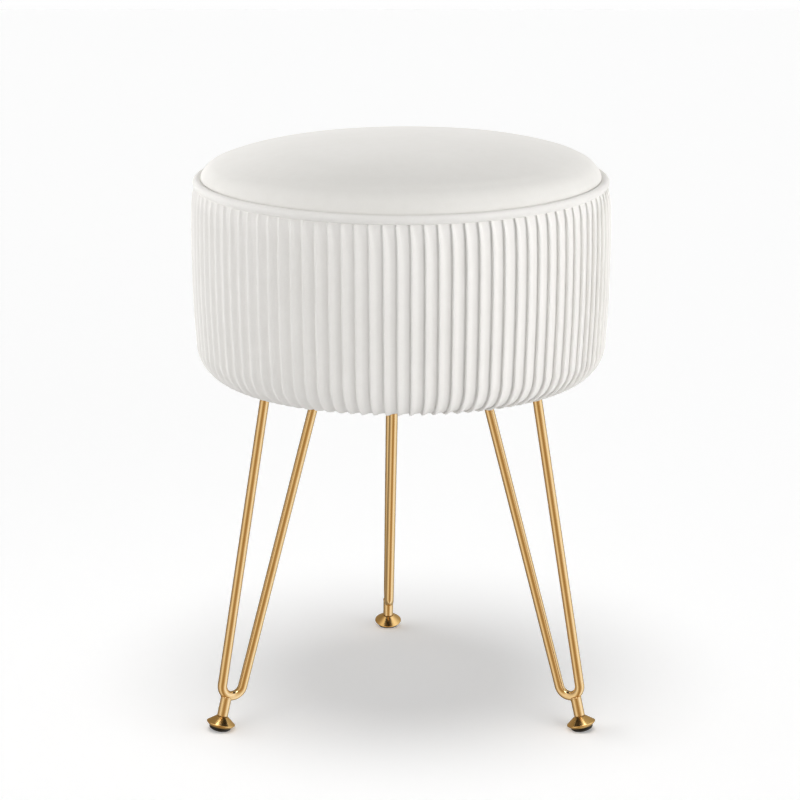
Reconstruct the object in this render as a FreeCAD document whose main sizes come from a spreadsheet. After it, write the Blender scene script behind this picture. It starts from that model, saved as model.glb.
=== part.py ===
import FreeCAD, Part
import math
import os
from types import SimpleNamespace

import Sketcher
from FreeCAD import Placement, Rotation, Vector

# Round vanity stool: a pleated drum seat on three hairpin legs with levelling feet.
# Millimetres and degrees. +Z is up, the floor is Z = 0, the seat's axis is the Z axis
# and the front of the stool faces -Y.

DRIVING_SIZES = [
    # Seat
    ("seat_height", 490, "floor to the crown of the seat"),
    ("dome_rise", 39, "crown of the seat above the seam"),
    ("drum_depth", 162.5, "seam down to the underside"),
    ("drum_radius", 175.5, "over the pleats where the drum is widest"),
    ("dome_shoulder", 22, "rounding between the seat's top and its rim"),
    ("rim_stand", 1.7, "upright rim of the seat's top above the seam"),
    ("piping_diameter", 8, "covered cord sewn into the seam"),
    ("piping_cord_diameter", 5.2, "filler inside the piping"),
    ("piping_inset", 2, "piping's outside behind the widest pleats"),
    ("sewing_gap", 0.1, "between the piping and the top cover's rim"),
    # Pleated cover
    ("cover_thick", 1.5, "velvet and its backing"),
    ("pleat_count", 100, "knife pleats round the drum"),
    ("pleat_depth", 2.2, "fold to tuck"),
    ("seam_pleat_depth", 0.4, "fold to tuck where the seam presses the pleats flat"),
    ("pleat_face", 0.86, "share of a pleat that its long face takes"),
    ("seam_tuck", 4.1, "pleats drawn in at the seam"),
    ("shoulder_tuck", 1.0, "pleats drawn in at the drum's shoulder"),
    ("shoulder_drop", 9, "shoulder below the pleats' upper edge"),
    ("belly_drop", 42, "widest place below the pleats' upper edge"),
    ("flank_drop", 87, "lower flank below the pleats' upper edge"),
    ("flank_tuck", 0.6, "pleats drawn in at the lower flank"),
    ("hem_tuck", 2.8, "pleats drawn in where the lower edge starts to round"),
    ("edge_roll", 30, "rounding of the drum's lower edge"),
    ("roll_steps", 6, "bands that follow the rounding"),
    ("hem_width", 41.5, "widest pleats in to where they end on the underside"),
    # Boards and stuffing
    ("felt_thick", 2, "felt disc that closes the underside"),
    ("felt_gap", 0.3, "felt disc inside the hem"),
    ("side_stuffing", 27.5, "widest pleats in to the boards and the wall"),
    ("base_thick", 18, "base board"),
    ("bevel_width", 20, "bevel under the base board's rim"),
    ("bevel_rise", 5, "bevel's height at the rim"),
    ("wall_thick", 10, "drum's wall"),
    ("seat_board_thick", 12, "board under the seat's foam"),
    ("seat_board_drop", 6, "seat board's top below the seam"),
    # Hairpin legs
    ("left_azimuth", 210, "direction of the front left leg"),
    ("right_azimuth", 330, "direction of the front right leg"),
    ("back_azimuth", 94, "direction of the back leg"),
    ("rod_diameter", 8, "round bar of the hairpins"),
    ("outer_lean", 10.15, "outer arm off the vertical"),
    ("inner_lean", 16.6, "inner arm off the vertical"),
    ("bend_radius", 9.7, "centre line of the bend"),
    ("bend_height", 37.4, "bend's centre above the floor"),
    ("plate_inset", 71.1, "widest pleats in to the middle of a mounting plate"),
    ("plate_overhang", 7.2, "mounting plate past the middles of the arms"),
    ("plate_width", 30, "mounting plate across the leg's direction"),
    ("plate_thick", 3, "mounting plate"),
    ("plate_corner", 6, "mounting plate's rounded corners"),
    ("screw_setback", 8.8, "screws from the arms' middles along the leg"),
    ("screw_spread", 9.5, "screws from the plate's middle across the leg"),
    # Wood screws
    ("screw_diameter", 3.9, "screw's shank"),
    ("screw_length", 16, "screw's shank below its head"),
    ("screw_head_diameter", 8, "pan head"),
    ("screw_head_height", 2.6, "pan head"),
    ("screw_clearance", 0.35, "shank in the plate and the felt, on the radius"),
    ("pilot_clearance", 0.05, "shank in the base board, on the radius"),
    ("pilot_spare", 0.8, "pilot hole past the screw's tip"),
    # Stems and levelling feet
    ("stem_diameter", 9.2, "stem under the bend"),
    ("stem_lean", 14, "stem and foot off the vertical"),
    ("stem_offset", 3.6, "stem's axis outside the bend's centre"),
    ("saddle_rise", 2.2, "stem's rim above its lowest contact with the bend"),
    ("stem_chamfer", 0.6, "stem's lower edge"),
    ("stud_diameter", 6, "levelling stud"),
    ("stud_clearance", 0.05, "stud in the stem, on the radius"),
    ("stud_engaged", 11.5, "stud inside the stem with the foot screwed in"),
    ("bore_spare", 0.5, "stem's bore past the stud's end"),
    ("stud_seat", 5, "stud inside the foot cone"),
    ("stem_gap", 0.5, "joint line between the stem and the foot cone"),
    ("neck_radius", 4.9, "foot cone's top"),
    ("rim_radius", 12.1, "foot cone's rim"),
    ("flank_height", 5.6, "foot cone's neck to its rim"),
    ("rim_thick", 0.7, "foot cone's rim"),
    ("lip_radius", 9.6, "foot cone's lower edge"),
    ("lip_height", 2.3, "foot cone's rim to its lower edge"),
    ("pad_gap", 0.2, "between the foot cone and its pad"),
    ("pad_radius", 9.2, "foot pad"),
    ("pad_height", 2.2, "foot pad's top to its lowest point on its axis"),
    ("pad_dome", 26, "curve of the pad's underside"),
    ("floor_flat", 0.12, "depth of the level flat under the pad"),
    ("pivot_radius", 1.6, "pin that holds the pad in its cone"),
    ("pivot_clearance", 0.05, "pin in the cone, on the radius"),
    ("pivot_length", 2.1, "pin above the pad"),
    ("pivot_spare", 0.3, "pin's hole past its end"),
    # Working allowances
    ("trim_allowance", 10, "arms made longer before they are cut level"),
]


class Size:
    """A size, as its value and as the expression that the document binds."""

    def __init__(self, value, text):
        self.value = float(value)
        self.text = text

    @staticmethod
    def of(item):
        """Turn a plain number into a Size and leave a Size as it is."""
        return item if isinstance(item, Size) else Size(item, f"({item})")

    def _with(self, other, sign, value):
        return Size(value, f"({self.text} {sign} {Size.of(other).text})")

    def __add__(self, other):
        return self._with(other, "+", self.value + Size.of(other).value)

    def __sub__(self, other):
        return self._with(other, "-", self.value - Size.of(other).value)

    def __mul__(self, other):
        return self._with(other, "*", self.value * Size.of(other).value)

    def __truediv__(self, other):
        return self._with(other, "/", self.value / Size.of(other).value)

    def __neg__(self):
        return self * -1


def cosine(angle):
    return Size(math.cos(math.radians(angle.value)), f"cos({angle.text} * 1deg)")


def sine(angle):
    return Size(math.sin(math.radians(angle.value)), f"sin({angle.text} * 1deg)")


def leg_of_triangle(longest, other):
    """Give the second short side of a right-angled triangle."""
    square = longest * longest - other * other
    return Size(math.sqrt(square.value), f"sqrt({square.text})")


def make_sheet(document):
    """Write the driving sizes into a spreadsheet and hand them back by name."""
    sheet = document.addObject("Spreadsheet::Sheet", "Sizes")
    for row, (name, value, meaning) in enumerate(DRIVING_SIZES, start=1):
        sheet.set(f"A{row}", name)
        sheet.set(f"B{row}", str(value))
        sheet.set(f"C{row}", meaning)
        sheet.setAlias(f"B{row}", name)
    document.recompute()
    return SimpleNamespace(
        **{name: Size(sheet.get(name), f"Sizes.{name}") for name, _, _ in DRIVING_SIZES})


doc = FreeCAD.newDocument("vanity_stool")
S = make_sheet(doc)
NODES = []


def node(piece):
    """Keep a finished sub-part for the export."""
    NODES.append(piece)
    return piece


def corner(x, y, radius=None, turn=1):
    """Give one corner of an outline; with a radius, an arc leads to the next corner.

    A turn of 1 goes round the arc anticlockwise and -1 clockwise.
    """
    return SimpleNamespace(x=Size.of(x), y=Size.of(y), radius=radius, turn=turn,
                           place=Vector(Size.of(x).value, Size.of(y).value, 0))


def arc_between(start, end, radius, turn):
    """Give the arc of under a half circle between two places."""
    chord = end - start
    side = Vector(-chord.y, chord.x, 0).normalize() * turn
    centre = (start + end) * 0.5 + side * math.sqrt(radius ** 2 - (chord.Length / 2) ** 2)
    first, last = (start, end) if turn > 0 else (end, start)
    angles = [math.atan2(place.y - centre.y, place.x - centre.x) for place in (first, last)]
    return Part.ArcOfCircle(Part.Circle(centre, Vector(0, 0, 1), radius), *angles)


def constrain(sketch, kind, size, *target):
    """Add one dimension to a sketch and bind it to the sheet."""
    index = sketch.addConstraint(Sketcher.Constraint(kind, *target, size.value))
    label = f"{kind}{index}"
    sketch.renameConstraint(index, label)
    sketch.setExpression(f"Constraints.{label}", size.text)


def fix_point(sketch, edge, end, place):
    """Hold one end of an edge at its distances from the sketch's origin."""
    for kind, size, axis in (("DistanceX", place.x, -2), ("DistanceY", place.y, -1)):
        if size.value == 0:
            sketch.addConstraint(Sketcher.Constraint("PointOnObject", edge, end, axis))
        else:
            constrain(sketch, kind, size, -1, 1, edge, end)


def draw(sketch, outline, closed=True):
    """Draw lines and arcs through the corners of an outline, every size bound."""
    following = outline[1:] + outline[:1] if closed else outline[1:]
    ends = []
    for begin, finish in zip(outline, following):
        if begin.radius is None:
            edge = sketch.addGeometry(Part.LineSegment(begin.place, finish.place))
            ends.append((edge, 1, 2))
        else:
            arc = arc_between(begin.place, finish.place, begin.radius.value, begin.turn)
            edge = sketch.addGeometry(arc)
            ends.append((edge, 1, 2) if begin.turn > 0 else (edge, 2, 1))
            constrain(sketch, "Radius", begin.radius, edge)
    for (edge, _, last), (other, first, _) in zip(ends, ends[1:] + ends[:1] if closed else ends[1:]):
        sketch.addConstraint(Sketcher.Constraint("Coincident", edge, last, other, first))
    for (edge, first, _), place in zip(ends, outline):
        fix_point(sketch, edge, first, place)
    if not closed:
        fix_point(sketch, ends[-1][0], ends[-1][2], outline[-1])


def new_body(name):
    return doc.addObject("PartDesign::Body", name)


def new_sketch(body, role, name):
    """Start a sketch on one of the body's own origin planes."""
    sketch = body.newObject("Sketcher::SketchObject", f"{body.Name}_{name}")
    plane = next(item for item in body.Origin.OriginFeatures if item.Role == role)
    sketch.AttachmentSupport = [(plane, "")]
    sketch.MapMode = "FlatFace"
    return sketch


def turned(name, outline):
    """Turn an outline of radius and height about the Z axis."""
    body = new_body(name)
    sketch = new_sketch(body, "XZ_Plane", "outline")
    draw(sketch, outline)
    turn = body.newObject("PartDesign::Revolution", f"{name}_turn")
    turn.Profile = sketch
    turn.ReferenceAxis = (sketch, ["V_Axis"])
    turn.Angle = 360
    doc.recompute()
    return body


def lift(sketch, level):
    """Move a sketch on a horizontal plane up to a level."""
    sketch.setExpression("AttachmentOffset.Base.z", level.text)


def cut_of(name, base, tool):
    """Cut one object with another and keep the rest under a name."""
    cut = doc.addObject("Part::Cut", name)
    cut.Base = base
    cut.Tool = tool
    doc.recompute()
    return cut


def leg_turn(azimuth):
    """Give the placement that turns a leg from the X axis to its direction."""
    return Placement(Vector(0, 0, 0), Rotation(Vector(0, 0, 1), azimuth.value))


# Reaches of the seat from its axis
board_radius = S.drum_radius - S.side_stuffing
hem_radius = S.drum_radius - S.hem_width

# Levels of the seat
seam_level = S.seat_height - S.dome_rise
underside = seam_level - S.drum_depth
base_bottom = underside + S.felt_thick
base_top = base_bottom + S.base_thick
seat_board_top = seam_level - S.seat_board_drop
seat_board_bottom = seat_board_top - S.seat_board_thick
piping_radius = S.piping_diameter / 2
piping_reach = S.drum_radius - S.piping_inset - piping_radius
skirt_top = seam_level - piping_radius
plate_bottom = underside - S.plate_thick

# Places in a leg's upright plane: reach from the seat's axis and height
rod_radius = S.rod_diameter / 2


def arm_offset(lean, side, level):
    """Give how far out an arm is from the bend's centre at a level.

    The side is 1 for the outer arm and -1 for the inner.
    """
    start_level = S.bend_height + S.bend_radius * sine(lean) * side
    return (S.bend_radius * cosine(lean) * side
            - (level - start_level) * sine(lean) / cosine(lean))


outer_offset = arm_offset(S.outer_lean, 1, plate_bottom)
inner_offset = arm_offset(S.inner_lean, -1, plate_bottom)
arm_spread = outer_offset - inner_offset
plate_middle = S.drum_radius - S.plate_inset
plate_length = arm_spread + S.plate_overhang * 2
screw_reach = arm_spread / 2 - S.screw_setback
bend_reach = plate_middle - (outer_offset + inner_offset) / 2
foot_stack = (S.stem_gap + S.flank_height + S.rim_thick + S.lip_height + S.pad_gap
              + S.pad_height)
stem_end_level = S.pad_dome - S.floor_flat + (foot_stack - S.pad_dome) * cosine(S.stem_lean)
stem_side_reach = bend_reach + S.stem_offset * cosine(S.stem_lean)
stem_side_level = S.bend_height + S.stem_offset * sine(S.stem_lean)
stem_run = (stem_side_level - stem_end_level) / cosine(S.stem_lean)
stem_end_reach = stem_side_reach + stem_run * sine(S.stem_lean)
stem_length = (stem_run + S.saddle_rise
               - leg_of_triangle(S.bend_radius + rod_radius, S.stem_offset))


def foot_frame(azimuth):
    """Give the placement of a stem's end: its Z axis runs up along the stem."""
    lean = Placement(Vector(stem_end_reach.value, 0, stem_end_level.value),
                     Rotation(Vector(0, 1, 0), -S.stem_lean.value))
    return leg_turn(azimuth).multiply(lean)


def dome_corners(inset, foot_level):
    """Give the dome's outline from its rim to the axis, drawn in by an inset."""
    rim = piping_reach - piping_radius - S.sewing_gap
    reach = rim - S.dome_shoulder
    level = seam_level + S.rim_stand
    rise = S.seat_height - level
    radius = ((reach * reach + rise * rise - S.dome_shoulder * S.dome_shoulder)
              / ((rise - S.dome_shoulder) * 2))
    share = (S.dome_shoulder - inset) / (radius - S.dome_shoulder)
    return [corner(rim - inset, foot_level),
            corner(rim - inset, level, S.dome_shoulder - inset),
            corner(reach + reach * share, level + (radius - rise) * share, radius - inset),
            corner(0, S.seat_height - inset)]


def dome_corners_back(inset, foot_level):
    """Give the same outline from the axis back to the rim."""
    rim, shoulder, crown, top = dome_corners(inset, foot_level)
    return [corner(top.x, top.y, crown.radius, -1),
            corner(crown.x, crown.y, shoulder.radius, -1),
            corner(shoulder.x, shoulder.y), rim]


# Outline of the pleated side: reach over the folds and height, from the seam down to the hem
roll_start = S.drum_radius - S.hem_tuck
roll_centre = roll_start - S.edge_roll
skirt_sides = [
    (S.drum_radius - S.seam_tuck, skirt_top),
    (S.drum_radius - S.shoulder_tuck, skirt_top - S.shoulder_drop),
    (S.drum_radius, skirt_top - S.belly_drop),
    (S.drum_radius - S.flank_tuck, skirt_top - S.flank_drop),
]
cover_depth = S.pleat_depth + S.cover_thick
inner_roll = S.edge_roll - cover_depth


def inner_side_corners():
    """Give the inside of the pleated cover from the seam down to the rounding."""
    return [corner(reach - cover_depth, level) for reach, level in skirt_sides]


def inner_roll_corners():
    """Give the inside of the pleated cover from the hem round the lower edge."""
    return [corner(hem_radius, base_bottom),
            corner(roll_centre, base_bottom, inner_roll),
            corner(roll_centre + inner_roll, base_bottom + inner_roll)]


def make_seat_boards():
    """Make the base board, the drum's wall and the seat board."""
    bevel_start = board_radius - S.bevel_width
    base = turned("base_board", [
        corner(0, base_bottom),
        corner(bevel_start, base_bottom),
        corner(board_radius, base_bottom + S.bevel_rise),
        corner(board_radius, base_top),
        corner(0, base_top)])
    pilot_depth = S.screw_length - S.plate_thick - S.felt_thick + S.pilot_spare
    drill_for_legs(base, base_bottom, pilot_depth, S.screw_diameter / 2 + S.pilot_clearance)
    node(base)
    wall_inside = board_radius - S.wall_thick
    node(turned("drum_wall", [
        corner(wall_inside, base_top),
        corner(board_radius, base_top),
        corner(board_radius, seat_board_bottom),
        corner(wall_inside, seat_board_bottom)]))
    node(turned("seat_board", [
        corner(0, seat_board_bottom),
        corner(board_radius, seat_board_bottom),
        corner(board_radius, seat_board_top),
        corner(0, seat_board_top)]))


def drill_for_legs(body, level, depth, radius):
    """Drill the holes of all three mounting plates upwards from a level."""
    for azimuth in (S.left_azimuth, S.right_azimuth, S.back_azimuth):
        drill_for_leg(body, level, depth, radius, azimuth)


def drill_for_leg(body, level, depth, radius, azimuth=None):
    """Drill the four holes of one mounting plate upwards from a level."""
    volume = body.Shape.Volume
    suffix = "plate" if azimuth is None else azimuth.text.split(".")[-1]
    sketch = new_sketch(body, "XY_Plane", f"holes_{suffix}")
    lift(sketch, level)
    if azimuth is not None:
        sketch.setExpression("AttachmentOffset.Rotation.Angle", azimuth.text)
    for reach in (plate_middle - screw_reach, plate_middle + screw_reach):
        for spread in (-S.screw_spread, S.screw_spread * 1):
            centre = Vector(reach.value, spread.value, 0)
            hole = sketch.addGeometry(Part.Circle(centre, Vector(0, 0, 1), radius.value))
            constrain(sketch, "Radius", radius, hole)
            constrain(sketch, "DistanceX", reach, -1, 1, hole, 3)
            constrain(sketch, "DistanceY", spread, -1, 1, hole, 3)
    holes = body.newObject("PartDesign::Pocket", f"{body.Name}_drill_{suffix}")
    holes.Profile = sketch
    holes.Reversed = True
    holes.setExpression("Length", depth.text)
    doc.recompute()
    if body.Shape.Volume >= volume:
        raise RuntimeError(f"{body.Name}: the screw holes cut nothing")


def make_stuffing():
    """Make the foam round the drum and the domed foam on the seat board."""
    seam, shoulder, *lower_sides = inner_side_corners()
    share = (seat_board_top - shoulder.y) / S.shoulder_drop
    bevel_slope = S.bevel_rise / S.bevel_width
    hem_rise = (hem_radius - board_radius + S.bevel_width) * bevel_slope
    node(turned("side_foam", [
        *inner_roll_corners(),
        *reversed(lower_sides),
        shoulder,
        corner(shoulder.x + (seam.x - shoulder.x) * share, seat_board_top),
        corner(board_radius, seat_board_top),
        corner(board_radius, base_bottom + S.bevel_rise),
        corner(hem_radius, base_bottom + hem_rise)]))
    node(turned("top_foam", dome_corners(S.cover_thick, seat_board_top)
                + [corner(0, seat_board_top)]))


def make_top_cover():
    """Make the smooth domed cover, a skin from the seam to the crown."""
    node(turned("top_cover", dome_corners(Size.of(0), seam_level)
                + dome_corners_back(S.cover_thick, seam_level)))


def torus(name, radius, section):
    ring = doc.addObject("Part::Torus", name)
    ring.setExpression("Radius1", radius.text)
    ring.setExpression("Radius2", section.text)
    ring.setExpression("Placement.Base.z", seam_level.text)
    doc.recompute()
    return ring


def make_piping():
    """Make the covered piping round the seam and the filler cord inside it."""
    filler = S.piping_cord_diameter / 2
    node(cut_of("piping", torus("piping_full", piping_reach, piping_radius),
                torus("piping_hollow", piping_reach, filler)))
    node(torus("piping_cord", piping_reach, filler))


def pleat_wire(reach, level, depth):
    """Give one level ring of knife pleats: a long face in to the tuck, then the fold."""
    count = int(S.pleat_count.value)
    step = 2 * math.pi / count
    places = []
    for index in range(count):
        fold = index * step
        tuck = fold + step * S.pleat_face.value
        places.append(Vector(reach * math.cos(fold), reach * math.sin(fold), level))
        places.append(Vector((reach - depth) * math.cos(tuck), (reach - depth) * math.sin(tuck),
                             level))
    return Part.makePolygon(places + places[:1])


def make_pleated_skirt():
    """Make the pleated cover: level rings of pleats joined by ruled faces, then hollowed."""
    rings = [(reach.value, level.value, S.pleat_depth.value) for reach, level in skirt_sides]
    rings[0] = rings[0][:2] + (S.seam_pleat_depth.value,)
    steps = int(S.roll_steps.value)
    for index in range(steps + 1):
        angle = math.pi / 2 * index / steps
        rings.append((roll_centre.value + S.edge_roll.value * math.cos(angle),
                      underside.value + S.edge_roll.value * (1 - math.sin(angle)),
                      S.pleat_depth.value))
    outside = Part.makeLoft([pleat_wire(*ring) for ring in rings], True, True)
    below = underside - S.cover_thick
    above = skirt_top + S.cover_thick
    hollow = turned("skirt_hollow", [
        corner(0, below),
        corner(hem_radius, below),
        *inner_roll_corners(),
        *reversed(inner_side_corners()),
        corner(skirt_sides[0][0] - cover_depth, above),
        corner(0, above)])
    skirt = doc.addObject("Part::Feature", "pleated_skirt")
    skirt.Shape = outside.cut(hollow.Shape)
    node(skirt)


def make_felt():
    """Make the felt disc that closes the underside inside the hem."""
    reach = hem_radius - S.felt_gap
    felt = turned("underside_felt", [
        corner(0, underside),
        corner(reach, underside),
        corner(reach, base_bottom),
        corner(0, base_bottom)])
    drill_for_legs(felt, underside, S.felt_thick * 2, S.screw_diameter / 2 + S.screw_clearance)
    node(felt)


def make_plate(name, azimuth):
    """Make a leg's mounting plate with rounded corners and four screw holes."""
    plate = new_body(f"leg_plate_{name}")
    sketch = new_sketch(plate, "XY_Plane", "outline")
    lift(sketch, plate_bottom)
    half_length, half_width = plate_length / 2, S.plate_width / 2
    draw(sketch, [corner(plate_middle - half_length, -half_width),
                  corner(plate_middle + half_length, -half_width),
                  corner(plate_middle + half_length, half_width),
                  corner(plate_middle - half_length, half_width)])
    pad = plate.newObject("PartDesign::Pad", f"{plate.Name}_pad")
    pad.Profile = sketch
    pad.setExpression("Length", S.plate_thick.text)
    doc.recompute()
    upright = [f"Edge{index}" for index, edge in enumerate(pad.Shape.Edges, start=1)
               if abs(edge.tangentAt(edge.FirstParameter).z) > 0.9]
    rounding = plate.newObject("PartDesign::Fillet", f"{plate.Name}_corners")
    rounding.Base = (pad, upright)
    rounding.setExpression("Radius", S.plate_corner.text)
    doc.recompute()
    drill_for_leg(plate, plate_bottom, S.plate_thick * 2, S.screw_diameter / 2 + S.screw_clearance)
    plate.Placement = leg_turn(azimuth)
    return node(plate)


def make_rod(name, azimuth, trim_block):
    """Bend one bar into a hairpin and cut both arms level under the mounting plate."""
    top = plate_bottom + S.trim_allowance
    outer_level = S.bend_height + S.bend_radius * sine(S.outer_lean)
    inner_level = S.bend_height - S.bend_radius * sine(S.inner_lean)
    outer_run = (top - outer_level) / cosine(S.outer_lean)
    inner_run = (top - inner_level) / cosine(S.inner_lean)
    opening = S.inner_lean - S.outer_lean
    inner_x = -(S.bend_radius * (cosine(opening) + 1))
    inner_y = -(outer_run + S.bend_radius * sine(opening))

    bar = new_body(f"bar_{name}")
    path = new_sketch(bar, "XZ_Plane", "path")
    draw(path, [corner(0, 0),
                corner(0, -outer_run, S.bend_radius, -1),
                corner(inner_x, inner_y),
                corner(inner_x - inner_run * sine(opening), inner_y + inner_run * cosine(opening))],
         closed=False)
    section = new_sketch(bar, "XY_Plane", "section")
    circle = section.addGeometry(Part.Circle(Vector(0, 0, 0), Vector(0, 0, 1), rod_radius.value))
    section.addConstraint(Sketcher.Constraint("Coincident", circle, 3, -1, 1))
    constrain(section, "Radius", rod_radius, circle)
    pipe = bar.newObject("PartDesign::AdditivePipe", f"{bar.Name}_pipe")
    pipe.Profile = section
    pipe.Spine = (path, ["Edge1", "Edge2", "Edge3"])
    doc.recompute()
    start_reach = bend_reach + arm_offset(S.outer_lean, 1, top)
    stand = Placement(Vector(start_reach.value, 0, top.value),
                      Rotation(Vector(0, 1, 0), -S.outer_lean.value))
    bar.Placement = leg_turn(azimuth).multiply(stand)
    return node(cut_of(f"leg_rod_{name}", bar, trim_block))


def make_stem(name, azimuth, rod):
    """Make the bored stem, saddled to the bend that it is welded under."""
    blank = new_body(f"stem_blank_{name}")
    sketch = new_sketch(blank, "XY_Plane", "section")
    circle = sketch.addGeometry(
        Part.Circle(Vector(0, 0, 0), Vector(0, 0, 1), S.stem_diameter.value / 2))
    sketch.addConstraint(Sketcher.Constraint("Coincident", circle, 3, -1, 1))
    constrain(sketch, "Radius", S.stem_diameter / 2, circle)
    pad = blank.newObject("PartDesign::Pad", f"{blank.Name}_pad")
    pad.Profile = sketch
    pad.setExpression("Length", stem_length.text)
    doc.recompute()
    lower = [f"Edge{index}" for index, edge in enumerate(pad.Shape.Edges, start=1)
             if edge.BoundBox.ZMax < S.stem_chamfer.value]
    chamfer = blank.newObject("PartDesign::Chamfer", f"{blank.Name}_chamfer")
    chamfer.Base = (pad, lower)
    chamfer.setExpression("Size", S.stem_chamfer.text)
    doc.recompute()
    bore_sketch = new_sketch(blank, "XY_Plane", "bore_section")
    hole = bore_sketch.addGeometry(
        Part.Circle(Vector(0, 0, 0), Vector(0, 0, 1), S.stud_diameter.value / 2))
    bore_sketch.addConstraint(Sketcher.Constraint("Coincident", hole, 3, -1, 1))
    constrain(bore_sketch, "Radius", S.stud_diameter / 2 + S.stud_clearance, hole)
    bore = blank.newObject("PartDesign::Pocket", f"{blank.Name}_bore")
    bore.Profile = bore_sketch
    bore.Reversed = True
    bore.setExpression("Length", (S.stud_engaged + S.bore_spare).text)
    doc.recompute()
    if blank.Shape.Volume >= chamfer.Shape.Volume:
        raise RuntimeError(f"{blank.Name}: the bore cuts nothing")
    blank.Placement = foot_frame(azimuth)
    return node(cut_of(f"leg_stem_{name}", blank, rod))


def make_foot(name, azimuth, floor_block):
    """Make a levelling foot: the stud, its cone and the pad that swivels under it."""
    frame = foot_frame(azimuth)
    stud_radius = S.stud_diameter / 2
    neck = -S.stem_gap
    flank_end = neck - S.flank_height
    rim_end = flank_end - S.rim_thick
    lip = rim_end - S.lip_height
    pad_top = lip - S.pad_gap
    hole_top = pad_top + S.pivot_length + S.pivot_spare
    pivot_hole = S.pivot_radius + S.pivot_clearance
    cone = turned(f"foot_cone_{name}", [
        corner(0, hole_top),
        corner(pivot_hole, hole_top),
        corner(pivot_hole, lip),
        corner(S.lip_radius, lip),
        corner(S.rim_radius, rim_end),
        corner(S.rim_radius, flank_end),
        corner(S.neck_radius, neck),
        corner(stud_radius, neck),
        corner(stud_radius, neck - S.stud_seat),
        corner(0, neck - S.stud_seat)])
    cone.Placement = frame
    node(cone)

    stud = doc.addObject("Part::Cylinder", f"foot_stud_{name}")
    stud.setExpression("Radius", stud_radius.text)
    stud.setExpression("Height", (S.stud_engaged + S.stem_gap + S.stud_seat).text)
    foot_of_stud = Placement(Vector(0, 0, (neck - S.stud_seat).value), Rotation())
    stud.Placement = frame.multiply(foot_of_stud)
    doc.recompute()
    node(stud)

    dome_rise = S.pad_dome - leg_of_triangle(S.pad_dome, S.pad_radius)
    pad = turned(f"pad_blank_{name}", [
        corner(0, -foot_stack, S.pad_dome),
        corner(S.pad_radius, dome_rise - foot_stack),
        corner(S.pad_radius, pad_top),
        corner(S.pivot_radius, pad_top),
        corner(S.pivot_radius, pad_top + S.pivot_length),
        corner(0, pad_top + S.pivot_length)])
    pad.Placement = frame
    node(cut_of(f"foot_pad_{name}", pad, floor_block))


def make_block(name, bottom, top):
    """Make a wide block between two levels, used to cut pieces level."""
    block = doc.addObject("Part::Box", name)
    width = S.drum_radius * 4
    block.setExpression("Length", width.text)
    block.setExpression("Width", width.text)
    block.setExpression("Height", (Size.of(top) - bottom).text)
    block.setExpression("Placement.Base.x", (-width / 2).text)
    block.setExpression("Placement.Base.y", (-width / 2).text)
    block.setExpression("Placement.Base.z", Size.of(bottom).text)
    doc.recompute()
    return block


def make_screws():
    """Make the wood screws of all three mounting plates from one turned screw."""
    screw = turned("screw_blank", [
        corner(0, -S.screw_head_height),
        corner(S.screw_head_diameter / 4, -S.screw_head_height),
        corner(S.screw_head_diameter / 2, -S.screw_head_height / 2),
        corner(S.screw_head_diameter / 2, 0),
        corner(S.screw_diameter / 2, 0),
        corner(S.screw_diameter / 2, S.screw_length * 1),
        corner(0, S.screw_length * 1)])
    copies = []
    for azimuth in (S.left_azimuth, S.right_azimuth, S.back_azimuth):
        for along in (-screw_reach.value, screw_reach.value):
            for across in (-S.screw_spread.value, S.screw_spread.value):
                place = Vector(plate_middle.value + along, across, plate_bottom.value)
                move = leg_turn(azimuth).multiply(Placement(place, Rotation()))
                copies.append(screw.Shape.transformed(move.toMatrix(), True))
    screws = doc.addObject("Part::Feature", "leg_screws")
    screws.Shape = Part.makeCompound(copies)
    node(screws)


def make_legs():
    """Make the three legs with their plates, stems and feet."""
    trim_block = make_block("trim_block", plate_bottom, plate_bottom + S.trim_allowance * 3)
    floor_block = make_block("floor_block", -S.pad_height * 2, 0)
    for name, azimuth in (("front_left", S.left_azimuth), ("front_right", S.right_azimuth),
                          ("back", S.back_azimuth)):
        make_plate(name, azimuth)
        rod = make_rod(name, azimuth, trim_block)
        make_stem(name, azimuth, rod)
        make_foot(name, azimuth, floor_block)


def check_and_export():
    """Stop on any failed object, then write one file per sub-part."""
    doc.recompute()
    for item in doc.Objects:
        if "Invalid" in item.State or "Error" in item.State:
            raise RuntimeError(f"{item.Name} failed: {item.State}")
    os.makedirs("parts", exist_ok=True)
    for piece in NODES:
        if piece.Shape.isNull() or not piece.Shape.isValid():
            raise RuntimeError(f"{piece.Label} has no valid shape")
        piece.Shape.exportStep(f"parts/{piece.Label}.step")
        print(f"{piece.Label}: {len(piece.Shape.Solids)} solid, {piece.Shape.Volume:.1f} mm3")


make_seat_boards()
make_stuffing()
make_top_cover()
make_piping()
make_pleated_skirt()
make_felt()
make_legs()
make_screws()
check_and_export()
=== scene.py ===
"""Round vanity stool: a pleated velvet drum on gold hairpin legs with levelling feet."""
import logging
import math
from dataclasses import dataclass, field
from enum import Enum
from functools import partial
from typing import Sequence

import bmesh
import bpy
from mathutils import Matrix, Vector, noise


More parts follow.
